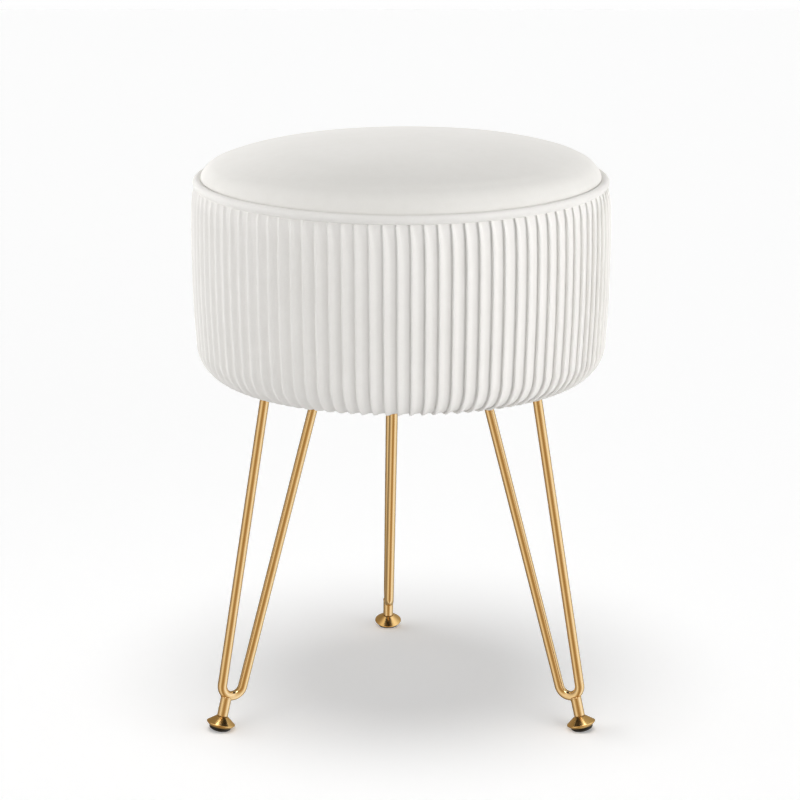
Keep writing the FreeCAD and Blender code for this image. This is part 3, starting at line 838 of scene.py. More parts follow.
@dataclass
class PleatedSide:
    """The drum's side: velvet in narrow knife pleats over the foam, closed as a thick ring.

    The profile's points carry three shares: how deep the pleats are there, how far the seam
    pulls the folds sideways, and how far the seam's rise lifts them.
    """

    pleats: int = 100
    columns: int = 14
    depth_mm: float = 3.0
    phase: float = 0.73
    seam_mm: float = 446.6
    underside_mm: float = 288.5
    roll_mm: float = 30.0
    roll_reach_mm: float = 142.7
    roll_steps: int = 15
    hem_reach_mm: float = 134.3
    hem_fold_mm: Pair = (0.6, 4.0)
    wall_mm: float = 6.0
    jitter: float = 0.03
    drift: float = 0.015
    uneven: float = 0.08
    seam_depth: float = 0.4
    seam_fade_mm: float = 9.0
    pinch_fade_mm: float = 14.0
    fade_power: float = 1.4
    hem_flattening: float = 0.35
    hem_start_mm: float = 318.0
    rise_start_mm: float = 449.0
    rise_span_mm: float = 60.0
    seed: int = 7
    rise: SeamRise = field(default_factory=SeamRise)

    # Reach and height of the edge that is sewn in, and of the wall inside.
    sewn_edge: tuple[Pair, ...] = ((168.6, 448.4), (170.4, 447.8))
    inner_wall: tuple[Pair, ...] = ((164.0, 322.0), (166.0, 380.0), (166.0, 440.0))

    # Height and reach of the drum over its folds, and the drops below the seam where the
    # profile has a point.
    bulge: tuple[Pair, ...] = (
        (447.4, 171.6), (443.0, 173.2), (438.0, 174.3), (425.0, 175.1), (405.0, 175.5),
        (380.0, 175.3), (360.0, 174.9), (340.0, 174.0), (318.5, 172.7))
    drops_mm: tuple[float, ...] = (
        0.0, 1.2, 2.6, 4.2, 6.2, 8.6, 11.5, 15.0, 19.5, 26.0, 34.0, 43.0, 53.0, 63.0, 73.0,
        83.0, 93.0, 103.0, 112.0, 120.0, 125.5)

    # One pleat, from the tuck under its fold, round the fold and down its face to the next
    # tuck: share of the pitch, share of the depth, share of the pitch that the seam pulls it
    # aside, and how freely it strays.
    section: tuple[tuple[float, float, float, float], ...] = (
        (0.075, -1.04, -0.09, 0.0), (0.030, -0.99, -0.09, 0.3), (-0.005, -0.84, -0.09, 0.7),
        (-0.025, -0.58, -0.09, 0.9), (-0.022, -0.30, -0.09, 1.0), (0.005, -0.09, -0.09, 1.0),
        (0.055, 0.00, -0.10, 1.0), (0.130, -0.03, -0.13, 0.95), (0.220, -0.14, -0.18, 0.9),
        (0.310, -0.31, -0.23, 0.8), (0.400, -0.53, -0.27, 0.7), (0.490, -0.70, -0.28, 0.55),
        (0.620, -0.82, -0.24, 0.4), (0.820, -0.94, -0.16, 0.2), (1.075, -1.04, -0.09, 0.0))

    def outer(self) -> Profile:
        """Draw the side from the sewn edge down, round the lower edge and over the hem.

        Returns:
            Reach and height of each point.
        """
        side = list(self.sewn_edge)
        for drop in self.drops_mm:
            side.append((self._reach(self.seam_mm - drop), self.seam_mm - drop))
        for step in range(1, self.roll_steps + 1):
            angle = math.pi / 2 * step / self.roll_steps
            side.append((self.roll_reach_mm + self.roll_mm * math.cos(angle),
                         self.underside_mm + self.roll_mm * (1 - math.sin(angle))))
        fold, rise = self.hem_fold_mm
        return side + [(138.5, self.underside_mm), (self.hem_reach_mm, self.underside_mm),
                       (self.hem_reach_mm - fold, self.underside_mm + fold),
                       (self.hem_reach_mm, self.underside_mm + rise)]

    def rows(self) -> list[tuple[float, ...]]:
        """Give the whole closed profile with what the pleats need at each point.

        Returns:
            Reach, height, outward direction and the three shares of each point.
        """
        outer = self.outer()
        loop = outer + [(self.roll_reach_mm + 8, self.underside_mm + self.wall_mm + 4),
                        *self.inner_wall]
        rows = []
        for index, (reach, height) in enumerate(loop):
            before, after = loop[index - 1], loop[(index + 1) % len(loop)]
            run = Vector((after[0] - before[0], after[1] - before[1])).normalized()
            drop = max(0.0, self.seam_mm - height)
            deep = 0.0
            if 1 < index < len(outer) - 2:
                grown = 1 - math.exp(-((drop / self.seam_fade_mm) ** self.fade_power))
                deep = self.seam_depth + (1 - self.seam_depth) * grown
                low = max(0.0, (self.hem_start_mm - height) / self.roll_mm)
                deep *= 1 - self.hem_flattening * low ** 2
            pinch = 0.0
            if 0 < index < len(outer):
                pinch = math.exp(-((drop / self.pinch_fade_mm) ** self.fade_power))
            under = max(0.0, self.rise_start_mm - height) / self.rise_span_mm
            rows.append((reach, height, -run.y, run.x, deep, pinch, math.exp(-(under ** 2))))
        rows.append(rows[0])
        return rows

    def _reach(self, height: float) -> float:
        """Read the drum's reach at a height from the bulge, with a smooth curve.

        Args:
            height: height in millimetres.

        Returns:
            The reach in millimetres.
        """
        shape = self.bulge
        for index in range(len(shape) - 1):
            (top, wide), (low, narrow) = shape[index], shape[index + 1]
            if low <= height <= top:
                before = shape[max(0, index - 1)]
                after = shape[min(len(shape) - 1, index + 2)]
                share = (top - height) / (top - low)
                first = (narrow - before[1]) / max(before[0] - low, 1e-6) * (top - low)
                last = (after[1] - wide) / max(top - after[0], 1e-6) * (top - low)
                square, cube = share ** 2, share ** 3
                return ((2 * cube - 3 * square + 1) * wide + (cube - 2 * square + share) * first
                        + (3 * square - 2 * cube) * narrow + (cube - square) * last)
        return shape[-1][1]

    def tree(self) -> Tree:
        """Make the tree that wraps a profile round the drum and folds it into pleats.

        Returns:
            The tree, with every size as a named input.
        """
        tree, given = new_tree("knife pleats", {
            "Pleats": "Int", "Columns": "Int", "Depth": "Float", "Phase": "Float",
            "Rise": "Float", "Jitter": "Float", "Drift": "Float", "Uneven": "Float",
            "Seed": "Int", "Material": "Material"})
        make = partial(add, tree)

        # A flat sheet with a column for each step of the section and a row for each point of
        # the profile; every point works out which pleat it is in and how far along it.
        rows = make("GeometryNodeAttributeDomainSize",
                    {"Geometry": given["Geometry"]}).outputs["Point Count"]
        total = make(MATH, (given["Pleats"], given["Columns"]), operation="MULTIPLY")
        sheet = make("GeometryNodeMeshGrid",
                     {"Size X": 1.0, "Size Y": 1.0, "Vertices Y": rows,
                      "Vertices X": make(MATH, (total, 1.0), operation="ADD")})
        split = make("ShaderNodeSeparateXYZ", (make("GeometryNodeInputPosition"),)).outputs
        column, row = (
            make(MATH, (make(MATH, (make(MATH, (split[axis], 0.5), operation="ADD"), count),
                             operation="MULTIPLY"),), operation="ROUND")
            for axis, count in ((0, total), (1, make(MATH, (rows, 1.0), operation="SUBTRACT"))))
        middle = make(MATH, (column, 0.5), operation="ADD")
        pleat = make(MATH, (middle, given["Columns"]), operation="DIVIDE")
        pleat = make(MATH, (pleat,), operation="FLOOR")
        start = make(MATH, (pleat, given["Columns"]), operation="MULTIPLY")
        share = make(MATH, (column, start), operation="SUBTRACT")
        share = make(MATH, (share, given["Columns"]), operation="DIVIDE")
        same = make(MATH, (pleat, given["Pleats"]), operation="MODULO")

        # What the profile holds at this row.
        read = []
        for label in ("position", "away", "deep", "pinch", "lifted"):
            kind = "FLOAT_VECTOR" if label in ("position", "away") else "FLOAT"
            source = make("GeometryNodeInputNamedAttribute", {"Name": label}, data_type=kind)
            read.append(make("GeometryNodeSampleIndex",
                             {"Geometry": given["Geometry"], "Value": source, "Index": row},
                             data_type=kind))
        point, away = (make("ShaderNodeSeparateXYZ", (vector,)).outputs for vector in read[:2])
        deep, pinched, lifted = read[2:]

        # Each of the section's four columns as a curve along the pleat. A curve's points go
        # from 0 to 1, so it is drawn between its lowest and highest value and stretched.
        drawn = []
        steps = len(self.section) - 1
        for item, (low, high) in enumerate(((-0.1, 1.1), (-1.1, 0.1), (-0.4, 0.0), (0.0, 1.0))):
            curve = make("ShaderNodeFloatCurve", {"Value": share})
            line = curve.mapping.curves[0]
            curve.mapping.clip_min_y, curve.mapping.clip_max_y = -1.0, 2.0
            while len(line.points) > 2:
                line.points.remove(line.points[0])
            scaled = [(place / steps, (corner[item] - low) / (high - low))
                      for place, corner in enumerate(self.section)]
            line.points[0].location, line.points[1].location = scaled[0], scaled[-1]
            for x, y in scaled[1:-1]:
                line.points.new(x, y)
            curve.mapping.update()
            drawn.append(make(MATH, (curve, high - low, low), operation="MULTIPLY_ADD"))
        across, height, pulled, loose = drawn

        # Two steady random numbers from -1 to 1 for each pleat.
        aside, bigger = (
            make("FunctionNodeRandomValue",
                 {2: -1.0, 3: 1.0, "ID": same,
                  "Seed": make(MATH, (given["Seed"], offset), operation="ADD")},
                 data_type="FLOAT")
            for offset in (0.0, 1.0))

        # The tuck stays where the sheet is joined; the fold itself wanders.
        place = make("ShaderNodeCombineXYZ",
                     (make(MATH, (same, 3.7), operation="MULTIPLY"),
                      make(MATH, (point[2], 16.0), operation="MULTIPLY")))
        wander = make(NOISE, {"Vector": place, "Scale": 1.0, "Detail": 0.0},
                      noise_dimensions="2D")
        wander = make(MATH, (wander, 0.5), operation="SUBTRACT")
        drift = make(MATH, (given["Drift"], 2.0), operation="MULTIPLY")
        stray = make(MATH, (wander, drift), operation="MULTIPLY")
        stray = make(MATH, (aside, given["Jitter"], stray), operation="MULTIPLY_ADD")
        stray = make(MATH, (stray, loose), operation="MULTIPLY")
        fold = make(MATH, (pulled, pinched, stray), operation="MULTIPLY_ADD")
        angle = make(MATH, (pleat, across), operation="ADD")
        angle = make(MATH, (angle, make(MATH, (fold, given["Phase"]), operation="ADD")),
                     operation="ADD")
        angle = make(MATH, (angle, given["Pleats"]), operation="DIVIDE")
        angle = make(MATH, (angle, FULL_TURN), operation="MULTIPLY")
        sine = make(MATH, (angle,), operation="SINE")
        cosine = make(MATH, (angle,), operation="COSINE")

        # How far the point sinks in along the outward direction.
        swing = make(MATH, (bigger, given["Uneven"], 1.0), operation="MULTIPLY_ADD")
        sunk = make(MATH, (height, given["Depth"]), operation="MULTIPLY")
        sunk = make(MATH, (sunk, make(MATH, (deep, swing), operation="MULTIPLY")),
                    operation="MULTIPLY")
        reach, level = (make(MATH, (away[axis], sunk, point[axis]), operation="MULTIPLY_ADD")
                        for axis in (0, 2))

        # The same rise as SeamRise gives.
        half = make(MATH, (1.0, sine), operation="SUBTRACT")
        half = make(MATH, (half, 0.5), operation="MULTIPLY")
        power = make(MATH, (half, self.rise.sharpness), operation="POWER")
        rise = make(MATH, (1.0, power), operation="SUBTRACT")
        rise = make(MATH, (rise, given["Rise"]), operation="MULTIPLY")
        level = make(MATH, (rise, lifted, level), operation="MULTIPLY_ADD")
        spot = make("ShaderNodeCombineXYZ",
                    (make(MATH, (reach, cosine), operation="MULTIPLY"),
                     make(MATH, (reach, sine), operation="MULTIPLY"), level))
        moved = make("GeometryNodeSetPosition", {"Geometry": sheet, "Position": spot})
        joined = make("GeometryNodeMergeByDistance", {"Geometry": moved, "Distance": 2e-6})
        close_tree(tree, joined, given["Material"])
        return tree

    def make(self, shop: Workshop) -> Piece:
        """Wrap and fold the pleated cover.

        Args:
            shop: finishes and trees.

        Returns:
            The finished piece.
        """
        rows = self.rows()
        edges = [(i, i + 1) for i in range(len(rows) - 1)]
        piece = mesh_object("pleated_side", [Vector((r[0], 0.0, r[1])) * MM for r in rows], (),
                            edges)
        mesh = piece.data
        shares = ("deep", "pinch", "lifted")
        mesh.attributes.new("away", "FLOAT_VECTOR", "POINT")
        for label in shares:
            mesh.attributes.new(label, "FLOAT", "POINT")
        for index, row in enumerate(rows):
            mesh.attributes["away"].data[index].vector = (row[2], 0.0, row[3])
            for label, value in zip(shares, row[4:]):
                mesh.attributes[label].data[index].value = value
        run_tree(piece, self.tree(),
                 {"Pleats": self.pleats, "Columns": self.columns, "Depth": self.depth_mm * MM,
                  "Phase": self.phase, "Rise": self.rise.height_mm * MM,
                  "Jitter": self.jitter, "Drift": self.drift, "Uneven": self.uneven,
                  "Seed": self.seed, "Material": shop.velvet})
        face_outwards(piece, 2e-6)
        settle(piece, "stool", "velvet", "pleated_skirt", "side_foam")
        return piece


@dataclass
class Underside:
    """The felt that closes the bottom, and the boards above it."""

    reach_mm: float = 133.6
    level_mm: float = 288.65
    thick_mm: float = 1.2
    edge_mm: float = 0.4
    swell_mm: float = 0.5
    swells_per_m: float = 28.0
    segments: int = 120
    rings: int = 26
    boards: tuple[str, ...] = ("base_board", "drum_wall", "seat_board")

    def make(self, shop: Workshop) -> Piece:
        """Lay the felt, a little uneven between its fixings, and dress the boards.

        Args:
            shop: finishes and trees.

        Returns:
            The felt.
        """
        low, high = self.level_mm, self.level_mm + self.thick_mm
        reaches = [self.reach_mm * ring / self.rings for ring in range(self.rings)]
        outline = [(reach, low) for reach in reaches]
        outline += rounded([(self.reach_mm - 1, low, 0), (self.reach_mm, low, self.edge_mm),
                            (self.reach_mm, high, self.edge_mm), (self.reach_mm - 1, high, 0)])
        outline += [(reach, high) for reach in reversed(reaches)]
        piece = lathe("underside_cloth", outline, self.segments)
        for vertex in piece.data.vertices:
            lift = noise.noise(vertex.co * self.swells_per_m + Vector((3.0, 1.0, 0.0)))
            vertex.co.z += (0.5 + 0.5 * lift) * self.swell_mm * MM
        dress(piece, shop.felt)
        settle(piece, "stool", "felt", "underside_felt")
        dress_nodes(self.boards, shop.plywood)
        return piece


# ---- legs and feet


@dataclass
class HairpinLeg:
    """One leg: its hairpin bar, stem, welds, mounting plate and levelling foot."""

    place: LegPlace
    rod_radius_mm: float = 4.0
    rod_sides: int = 40
    bend_radius_mm: float = 9.7
    bend_reach_mm: float = 163.72
    bend_level_mm: float = 37.4
    bend_steps: int = 40
    outer_lean: float = 10.15
    inner_lean: float = 16.6
    top_mm: float = 285.5
    stem_lean: float = 14.0
    stem_radius_mm: float = 4.6
    stem_length_mm: float = 16.25
    stem_end_mm: Pair = (173.813, 11.811)
    bore_radius_mm: float = 3.05
    bore_depth_mm: float = 12.0
    stem_bead_mm: float = 0.75
    stem_bead_search_mm: Pair = (11.0, 22.0)
    plate_bead_mm: float = 0.95

    def plane(self, reach: float, level: float, side: float = 0.0) -> Vector:
        """Turn a place in the leg's upright plane, in millimetres, into the row's frame."""
        return self.place.turn @ (Vector((reach, side, level)) * MM)

    @property
    def foot_frame(self) -> Matrix:
        """Frame of the stem's end, whose Z axis runs up along the stem.

        Returns:
            The frame, in metres.
        """
        reach, level = self.stem_end_mm
        lean = Matrix.Rotation(math.radians(-self.stem_lean), 4, "Y")
        return self.place.turn @ Matrix.Translation(Vector((reach, 0, level)) * MM) @ lean

    def lean(self, side: int) -> float:
        """Give the lean of the outer arm, 1, or the inner arm, -1, in radians."""
        return math.radians(self.outer_lean if side > 0 else self.inner_lean)

    def arm(self, side: int, level: float) -> float:
        """Give the reach of an arm at a level.

        Args:
            side: 1 for the outer arm, -1 for the inner arm.
            level: height in millimetres.

        Returns:
            The reach in millimetres.
        """
        lean = self.lean(side)
        start = self.bend_reach_mm + side * self.bend_radius_mm * math.cos(lean)
        height = self.bend_level_mm + side * self.bend_radius_mm * math.sin(lean)
        return start - (level - height) * math.tan(lean)

    def bar(self, shop: Workshop) -> Piece:
        """Sweep the hairpin down one arm, round the bend and up the other.

        Args:
            shop: finishes and trees.

        Returns:
            The bar.
        """
        path = [self.plane(self.arm(1, self.top_mm), self.top_mm)]
        first, last = self.lean(1), math.pi + self.lean(-1)
        for step in range(self.bend_steps + 1):
            angle = first - (FULL_TURN - last + first) * step / self.bend_steps
            path.append(self.plane(self.bend_reach_mm + self.bend_radius_mm * math.cos(angle),
                                   self.bend_level_mm + self.bend_radius_mm * math.sin(angle)))
        path.append(self.plane(self.arm(-1, self.top_mm), self.top_mm))
        piece = shop.sweep(f"hairpin_{self.place.label}", path, False, self.rod_radius_mm * MM,
                           shop.gold, sides=self.rod_sides)
        return settle(piece, "stool", "gold_metal", f"leg_rod_{self.place.label}")

    def stem(self, shop: Workshop) -> Piece:
        """Turn the bored stem under the bend.

        Args:
            shop: finishes and trees.

        Returns:
            The stem.
        """
        edge = rounded([(self.bore_radius_mm, 0.6, 0), (self.bore_radius_mm, 0.0, 0.2),
                        (self.stem_radius_mm, 0.0, 0.5),
                        (self.stem_radius_mm, self.stem_length_mm, 0.5),
                        (0.0, self.stem_length_mm, 0)])
        outline = edge + [(0.0, self.bore_depth_mm), (self.bore_radius_mm, self.bore_depth_mm)]
        piece = lathe(f"stem_{self.place.label}", outline, 48, self.foot_frame)
        dress(piece, shop.gold)
        return settle(piece, "stool", "gold_metal", f"leg_stem_{self.place.label}")

    def _depth_in_bar(self, spot: Vector) -> float:
        """Give how deep a place is inside the bend's bar.

        Args:
            spot: the place, in metres.

        Returns:
            The depth in metres, negative outside.
        """
        local = self.place.turn.inverted() @ spot
        flat = Vector((local.x - self.bend_reach_mm * MM, local.z - self.bend_level_mm * MM))
        away = Vector((flat.length - self.bend_radius_mm * MM, local.y)).length
        return self.rod_radius_mm * MM - away

    def stem_weld(self, shop: Workshop) -> Piece:
        """Lay the weld bead where the stem meets the bend, along the line they share.

        Args:
            shop: finishes and trees.

        Returns:
            The bead.
        """
        radius = self.stem_radius_mm * 0.9
        limit = self.stem_length_mm - 0.2
        path = []
        for angle in turns(72):
            low, high = self.stem_bead_search_mm
            for _ in range(24):
                middle = (low + high) / 2
                if self._depth_in_bar(self.foot_frame @ (polar(radius, angle, middle) * MM)) < 0:
                    low = middle
                else:
                    high = middle
            path.append(self.foot_frame @ (polar(radius, angle, min(low, limit)) * MM))
        piece = shop.sweep(f"stem_weld_{self.place.label}", path, True, self.stem_bead_mm * MM,
                           shop.gold, sides=10)
        return settle(piece, "stool", "gold_metal")

    def plate_weld(self, shop: Workshop, side: int, label: str) -> Piece:
        """Lay a rippled weld bead round an arm where it meets the plate.

        Args:
            shop: finishes and trees.
            side: 1 for the outer arm, -1 for the inner arm.
            label: the arm's name.

        Returns:
            The bead.
        """
        centre = self.arm(side, self.top_mm - 0.2)
        radius = self.rod_radius_mm + 0.35
        path = [self.plane(centre + radius * math.cos(angle) / math.cos(self.lean(side)),
                           self.top_mm - 0.25, radius * math.sin(angle))
                for angle in turns(96)]
        piece = shop.sweep(f"plate_weld_{label}_{self.place.label}", path, True,
                           self.plate_bead_mm * MM, shop.gold, sides=12, ripple=0.14,
                           ripples=15.0)
        return settle(piece, "stool", "gold_metal")

    def make(self, shop: Workshop) -> None:
        """Build the whole leg with its foot.

        Args:
            shop: finishes and trees.
        """
        self.bar(shop)
        self.stem(shop)
        self.stem_weld(shop)
        self.plate_weld(shop, 1, "outer")
        self.plate_weld(shop, -1, "inner")
        dress_nodes([f"leg_plate_{self.place.label}"], shop.gold)
        LevellingFoot(self.place, self.foot_frame).make(shop)


@dataclass
class LevellingFoot:
    """A levelling foot: cone and threaded stud that turn, and a pad that doesn't."""

    place: LegPlace
    frame_here: Matrix
    neck_mm: Pair = (4.9, -0.5)
    rim_mm: Pair = (12.1, -6.1)
    rim_thick_mm: float = 0.7
    lip_mm: Pair = (9.6, -9.1)
    pad_radius_mm: float = 9.2
    pad_inner_mm: float = 8.6
    pad_top_mm: float = -9.3
    pad_side_mm: float = 0.5
    pad_low_mm: float = -13.4
    pad_steps: int = 18
    pad_fullness: float = 0.8
    thread_mm: Pair = (2.98, 2.45)
    thread_pitch_mm: float = 1.0
    thread_span_mm: Pair = (-3.0, 11.4)
    thread_sides: int = 24
    thread_rows_per_turn: int = 8

    def cone(self, shop: Workshop) -> Piece:
        """Turn the foot cone with its softened edges.

        Args:
            shop: finishes and trees.

        Returns:
            The cone.
        """
        rim_low = self.rim_mm[1] - self.rim_thick_mm
        outline = rounded([(0.0, self.neck_mm[1], 0), (*self.neck_mm, 0.45),
                           (*self.rim_mm, 0.3), (self.rim_mm[0], rim_low, 0.3),
                           (*self.lip_mm, 0.25), (0.0, self.lip_mm[1], 0)], steps=6)
        piece = lathe(f"foot_cone_shell_{self.place.label}", outline, 72, self.frame_here)
        dress(piece, shop.cone_gold)
        return settle(piece, f"{self.place.label}_screw", "gold_metal",
                      f"foot_cone_{self.place.label}")

    def stud(self, shop: Workshop) -> Piece:
        """Cut the stud's thread: a V groove that climbs once round for each pitch.

        Args:
            shop: finishes and trees.

        Returns:
            The stud.
        """
        crest, root = self.thread_mm
        low, high = self.thread_span_mm
        sides = self.thread_sides
        rows = int((high - low) / self.thread_pitch_mm * self.thread_rows_per_turn)
        verts = [Vector((0, 0, low))]
        for row in range(rows + 1):
            height = low + (high - low) * row / rows
            taper = min(1.0, high - height + 0.75)
            for step in range(sides):
                phase = (height / self.thread_pitch_mm - step / sides) % 1.0
                radius = root + (crest - root) * abs(2 * phase - 1)
                verts.append(polar(radius * taper, FULL_TURN * (step / sides), height))
        verts.append(Vector((0, 0, high)))
        faces = tube_faces(rows + 1, sides, False, 1)
        top = 1 + rows * sides
        for step in range(sides):
            beside = (step + 1) % sides
            faces += [(0, 1 + beside, 1 + step), (len(verts) - 1, top + step, top + beside)]
        piece = mesh_object(f"foot_thread_{self.place.label}", [v * MM for v in verts], faces)
        face_outwards(piece, 1e-8)
        piece.data.transform(self.frame_here)
        dress(piece, shop.zinc)
        return settle(piece, f"{self.place.label}_screw", "stud_steel",
                      f"foot_stud_{self.place.label}")

    def pad(self, shop: Workshop) -> Piece:
        """Turn the bowl-shaped pad and press it flat where it meets the floor.

        Args:
            shop: finishes and trees.

        Returns:
            The pad.
        """
        bowl = [(0.0, self.pad_low_mm)]
        side = self.pad_top_mm - self.pad_side_mm
        for step in range(1, self.pad_steps + 1):
            angle = math.pi / 2 * step / self.pad_steps
            bowl.append((self.pad_radius_mm * math.sin(angle) ** self.pad_fullness,
                         side + (self.pad_low_mm - side) * math.cos(angle) ** self.pad_fullness))
        edge = rounded([bowl[-1] + (0,), (self.pad_radius_mm, self.pad_top_mm, 0.15),
                        (self.pad_inner_mm, self.pad_top_mm, 0)])
        outline = bowl + edge[1:] + [(0.0, self.pad_top_mm)]
        piece = lathe(f"foot_pad_rubber_{self.place.label}", outline, 64, self.frame_here)
        for vertex in piece.data.vertices:
            vertex.co.z = max(vertex.co.z, 0.0)
        dress(piece, shop.rubber)
        return settle(piece, f"{self.place.label}_pad", "pad_rubber",
                      f"foot_pad_{self.place.label}")

    def make(self, shop: Workshop) -> None:
        """Build the foot.

        Args:
            shop: finishes and trees.
        """
        self.cone(shop)
        self.stud(shop)
        self.pad(shop)


@dataclass
class PlateScrews:
    """The wood screws of the mounting plates, one mesh put on every hole."""

    plate_middle_mm: float = 104.4
    reach_mm: float = 15.96
    spread_mm: float = 9.5
    level_mm: float = 285.5
    head_radius_mm: float = 4.0
    head_height_mm: float = 2.5
    shank_radius_mm: float = 1.95
    shank_mm: float = 15.5
    recess_mm: tuple[float, float, float] = (4.4, 1.05, 1.5)
    recess_taper: Pair = (0.45, 0.7)
    recess_sink: float = 0.3
    seed: int = 11

    def cross(self) -> Piece:
        """Make the cross that is cut into a screw's head, narrower at its bottom.

        Returns:
            The cross as an object of its own.
        """
        long, wide, deep = (size * MM for size in self.recess_mm)
        cutter = bmesh.new()
        for turn in (0.0, math.pi / 2):
            box = bmesh.ops.create_cube(cutter, size=1.0)["verts"]
            bmesh.ops.scale(cutter, vec=(long, wide, deep), verts=box)
            for vertex in box:
                if vertex.co.z > 0:
                    vertex.co.x *= self.recess_taper[0]
                    vertex.co.y *= self.recess_taper[1]
            bmesh.ops.rotate(cutter, matrix=Matrix.Rotation(turn, 3, "Z"), verts=box)
            # The two boxes stand a hair apart in height, so that no faces coincide.
            level = -self.head_height_mm * MM + deep * self.recess_sink + turn * 1e-6
            bmesh.ops.translate(cutter, vec=(0, 0, level), verts=box)
        mesh = bpy.data.meshes.new("screw_cross")
        cutter.to_mesh(mesh)
        cutter.free()
        return put("screw_cross", mesh)

    def pattern(self, shop: Workshop) -> Piece:
        """Make one screw, head down, with a cross cut into its domed head.

        Args:
            shop: finishes and trees.

        Returns:
            The screw.
        """
        outline = rounded([(0.0, -self.head_height_mm, 0), (2.6, -self.head_height_mm, 1.2),
                           (self.head_radius_mm, -0.9, 0.6), (self.head_radius_mm, 0.0, 0),
                           (self.shank_radius_mm, 0.0, 0),
                           (self.shank_radius_mm, self.shank_mm - 3, 0), (0.0, self.shank_mm, 0)])
        screw = lathe("screw_pattern", outline, 32)
        tool = self.cross()
        cut = screw.modifiers.new("cross", "BOOLEAN")
        cut.object, cut.solver, cut.use_self = tool, "EXACT", True
        keep_result(screw)
        bpy.data.objects.remove(tool)
        dress(screw, shop.zinc)
        return screw

    def tree(self) -> Tree:
        """Make the tree that puts a screw on each point, each turned its own way.

        Returns:
            The tree, with the screw, the seed and the material as inputs.
        """
        tree, given = new_tree("plate screws", {"Screw": "Object", "Seed": "Int",
                                                "Material": "Material"})
        part = add(tree, "GeometryNodeObjectInfo", {"Object": given["Screw"]})
        turn = add(tree, "FunctionNodeRandomValue",
                   {"Seed": given["Seed"], 0: (0.0, 0.0, 0.0), 1: (0.0, 0.0, math.pi)},
                   data_type="FLOAT_VECTOR")
        placed = add(tree, "GeometryNodeInstanceOnPoints",
                     {"Points": given["Geometry"], "Instance": part.outputs["Geometry"],
                      "Rotation": turn})
        close_tree(tree, placed, given["Material"], smooth=False)
        return tree

    def make(self, shop: Workshop) -> Piece:
        """Put the screws in all three plates.

        Args:
            shop: finishes and trees.

        Returns:
            The screws as one mesh.
        """
        points = []
        for place in LegPlace:
            for along in (-self.reach_mm, self.reach_mm):
                for across in (-self.spread_mm, self.spread_mm):
                    spot = Vector((self.plate_middle_mm + along, across, self.level_mm))
                    points.append(place.turn @ (spot * MM))
        pattern = self.pattern(shop)
        piece = mesh_object("plate_screws", points, ())
        run_tree(piece, self.tree(),
                 {"Screw": pattern, "Seed": self.seed, "Material": shop.zinc})
        bpy.data.objects.remove(pattern)
        return settle(piece, "stool", "screw_steel", "leg_screws")


# ---- stage


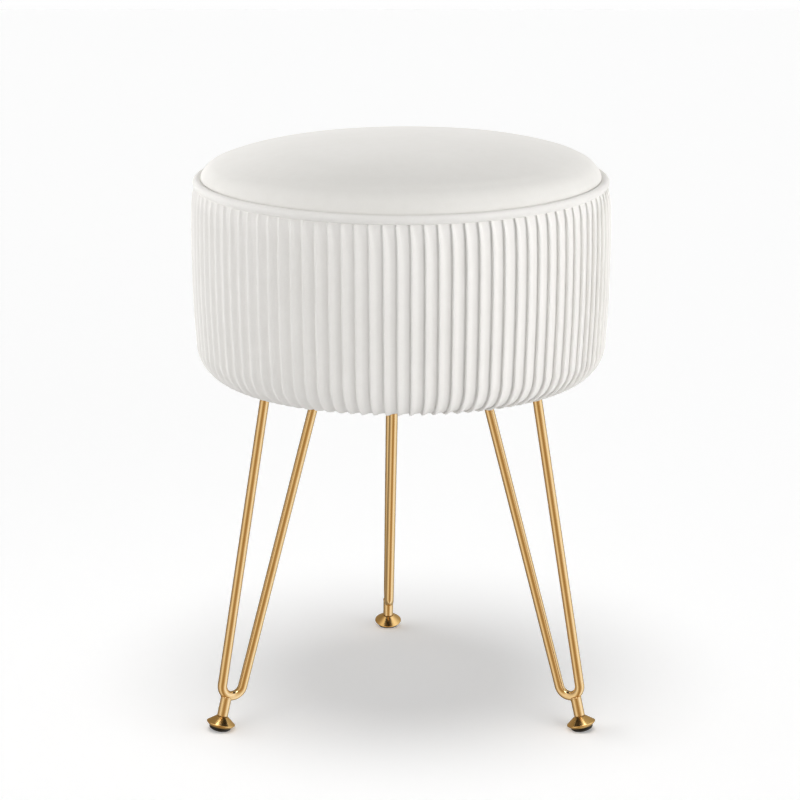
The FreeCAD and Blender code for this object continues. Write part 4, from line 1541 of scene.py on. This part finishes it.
@dataclass
class Studio:
    """Pale floor, soft light and the camera at the photograph's angle.

    The room is a plain studio: a bright soft light to the left and a little behind, a broader
    one to the right, a dim ceiling, and the unlit side where the camera stands. Directions are
    in degrees from the camera's side, turning to the right. Shiny surfaces see a plainer room.
    """

    camera_mm: tuple[float, float, float] = (0.0, -2112.7, 804.2)
    pitch: float = 14.34
    focal_px: float = 2560.0
    axis_px: float = 401.0
    white: float = 0.995
    walls: tuple[Pair, ...] = (
        (-180, 1.0), (-150, 2.4), (-125, 5.8), (-100, 7.0), (-80, 4.8), (-62, 1.5),
        (-43, 0.18), (-23, 0.12), (-8, 0.7), (8, 2.2), (28, 3.8), (50, 4.6), (72, 4.5),
        (95, 3.0), (120, 1.4), (150, 1.0), (180, 1.0))
    brightest: float = 7.0
    ceiling: float = 0.1
    ceiling_edge: Pair = (0.15, 0.53)
    mirrored: tuple[tuple[float, str], ...] = (
        (-180, "#8C8068"), (-120, "#8A7D66"), (-95, "#A19480"), (-72, "#D6CAB6"),
        (-50, "#F6ECDA"), (-35, "#D2BF9C"), (-12, "#A88D64"), (5, "#9E8257"),
        (22, "#B0956A"), (45, "#DCCDB0"), (65, "#FFFFFF"), (85, "#FFFFFF"),
        (110, "#DCD6CA"), (135, "#AEA690"), (180, "#8C8068"))
    gloss_level: float = 1.25
    overhead: float = 0.375
    overhead_angle: float = 32.0
    overhead_lean: Pair = (8.0, -1.0)
    floor_half: float = 6.0
    floor_level: float = -0.0003
    floor_glow: float = 0.192
    floor_shade: float = 0.98
    floor_bounce: float = 0.85

    def camera(self) -> None:
        """Place the camera where the photograph was taken."""
        data = bpy.data.cameras.new("camera")
        data.sensor_width = SENSOR_MM
        data.lens = self.focal_px / IMAGE_PIXELS * SENSOR_MM
        data.shift_x = (IMAGE_PIXELS / 2 - self.axis_px) / IMAGE_PIXELS
        data.clip_end = 50.0
        made = put("camera", data)
        made.location = Vector(self.camera_mm) * MM
        made.rotation_euler = (math.radians(90 - self.pitch), 0.0, 0.0)
        bpy.context.scene.camera = made

    def world(self) -> None:
        """Light the room from its walls and ceiling; the camera sees plain white."""
        world = bpy.data.worlds.new("studio")
        bpy.context.scene.world = world
        tree = empty_nodes(world)
        make = partial(add, tree)
        way = make("ShaderNodeSeparateXYZ",
                   (make("ShaderNodeTexCoord").outputs["Generated"],)).outputs
        front = make(MATH, (way[1], -1.0), operation="MULTIPLY")
        turn = make(MATH, (way[0], front), operation="ARCTAN2")
        share = make(MATH, (turn, 1 / FULL_TURN, 0.5), operation="MULTIPLY_ADD")

        # A ramp round the room for what lights it, and one for what shiny surfaces see.
        ramps = []
        for stops in ([(at, grey(level / self.brightest)) for at, level in self.walls],
                      [(at, linear(code)) for at, code in self.mirrored]):
            ramp = make("ShaderNodeValToRGB", (share,))
            marks = ramp.color_ramp.elements
            for mark, (at, colour) in zip(marks, (stops[0], stops[-1])):
                mark.position, mark.color = (at + 180) / 360, colour
            for at, colour in stops[1:-1]:
                marks.new((at + 180) / 360).color = colour
            ramps.append(ramp.outputs["Color"])
        walls, shown = ramps
        roof = make("ShaderNodeMapRange", (way[2], *self.ceiling_edge),
                    interpolation_type="SMOOTHSTEP")
        room = make("ShaderNodeMix", {"Factor": roof, 6: walls,
                                      7: grey(self.ceiling / self.brightest)}, data_type="RGBA")
        plain, gloss, seen = (
            make("ShaderNodeBackground", {"Color": colour, "Strength": level})
            for colour, level in ((room, self.brightest), (shown, self.gloss_level),
                                  (grey(1.0), self.white)))
        rays = make("ShaderNodeLightPath").outputs
        lit = make("ShaderNodeMixShader", (rays["Is Glossy Ray"], plain, gloss))
        whole = make("ShaderNodeMixShader", (rays["Is Camera Ray"], lit, seen))
        make("ShaderNodeOutputWorld", {"Surface": whole})

    def floor(self) -> None:
        """Lay the pale floor, which shows the stool's soft shadow."""
        half, level = self.floor_half, self.floor_level
        piece = mesh_object("floor", [(-half, -half, level), (half, -half, level),
                                      (half, half, level), (-half, half, level)],
                            [(0, 1, 2, 3)])
        material = bpy.data.materials.new("pale studio floor")
        tree = empty_nodes(material)
        matt = add(tree, "ShaderNodeBsdfDiffuse", {"Color": grey(self.floor_shade)})
        glow = add(tree, "ShaderNodeEmission", {"Color": grey(1.0), "Strength": self.floor_glow})
        both = add(tree, "ShaderNodeAddShader", (matt, glow))
        bounce = add(tree, "ShaderNodeBsdfDiffuse", {"Color": grey(self.floor_bounce)})
        rays = add(tree, "ShaderNodeLightPath").outputs
        mixed = add(tree, "ShaderNodeMixShader", (rays["Is Camera Ray"], bounce, both))
        add(tree, "ShaderNodeOutputMaterial", {"Surface": mixed})
        dress(piece, material)
        piece.visible_glossy = False

    def lamp(self) -> None:
        """Hang a soft lamp overhead."""
        above = bpy.data.lights.new("overhead", "SUN")
        above.energy = self.overhead * math.pi
        above.angle = math.radians(self.overhead_angle)
        lean, turn = self.overhead_lean
        put("overhead", above).rotation_euler = (math.radians(lean), math.radians(turn), 0.0)

    def make(self) -> None:
        """Set up the whole stage."""
        self.camera()
        self.world()
        self.floor()
        self.lamp()
        bpy.context.scene.view_settings.view_transform = "Standard"
        LOG.info("stage: camera, room, floor and lamp")


def main() -> None:
    """Build the stage, the seat, the legs and their screws."""
    logging.basicConfig(level=logging.INFO, format="%(message)s")
    Studio().make()
    shop = Workshop()
    legs = [HairpinLeg(place) for place in LegPlace]
    for part in (SeatTop(), SeamPiping(), PleatedSide(), Underside(), *legs, PlateScrews()):
        part.make(shop)


if __name__ == "__main__":
    main()
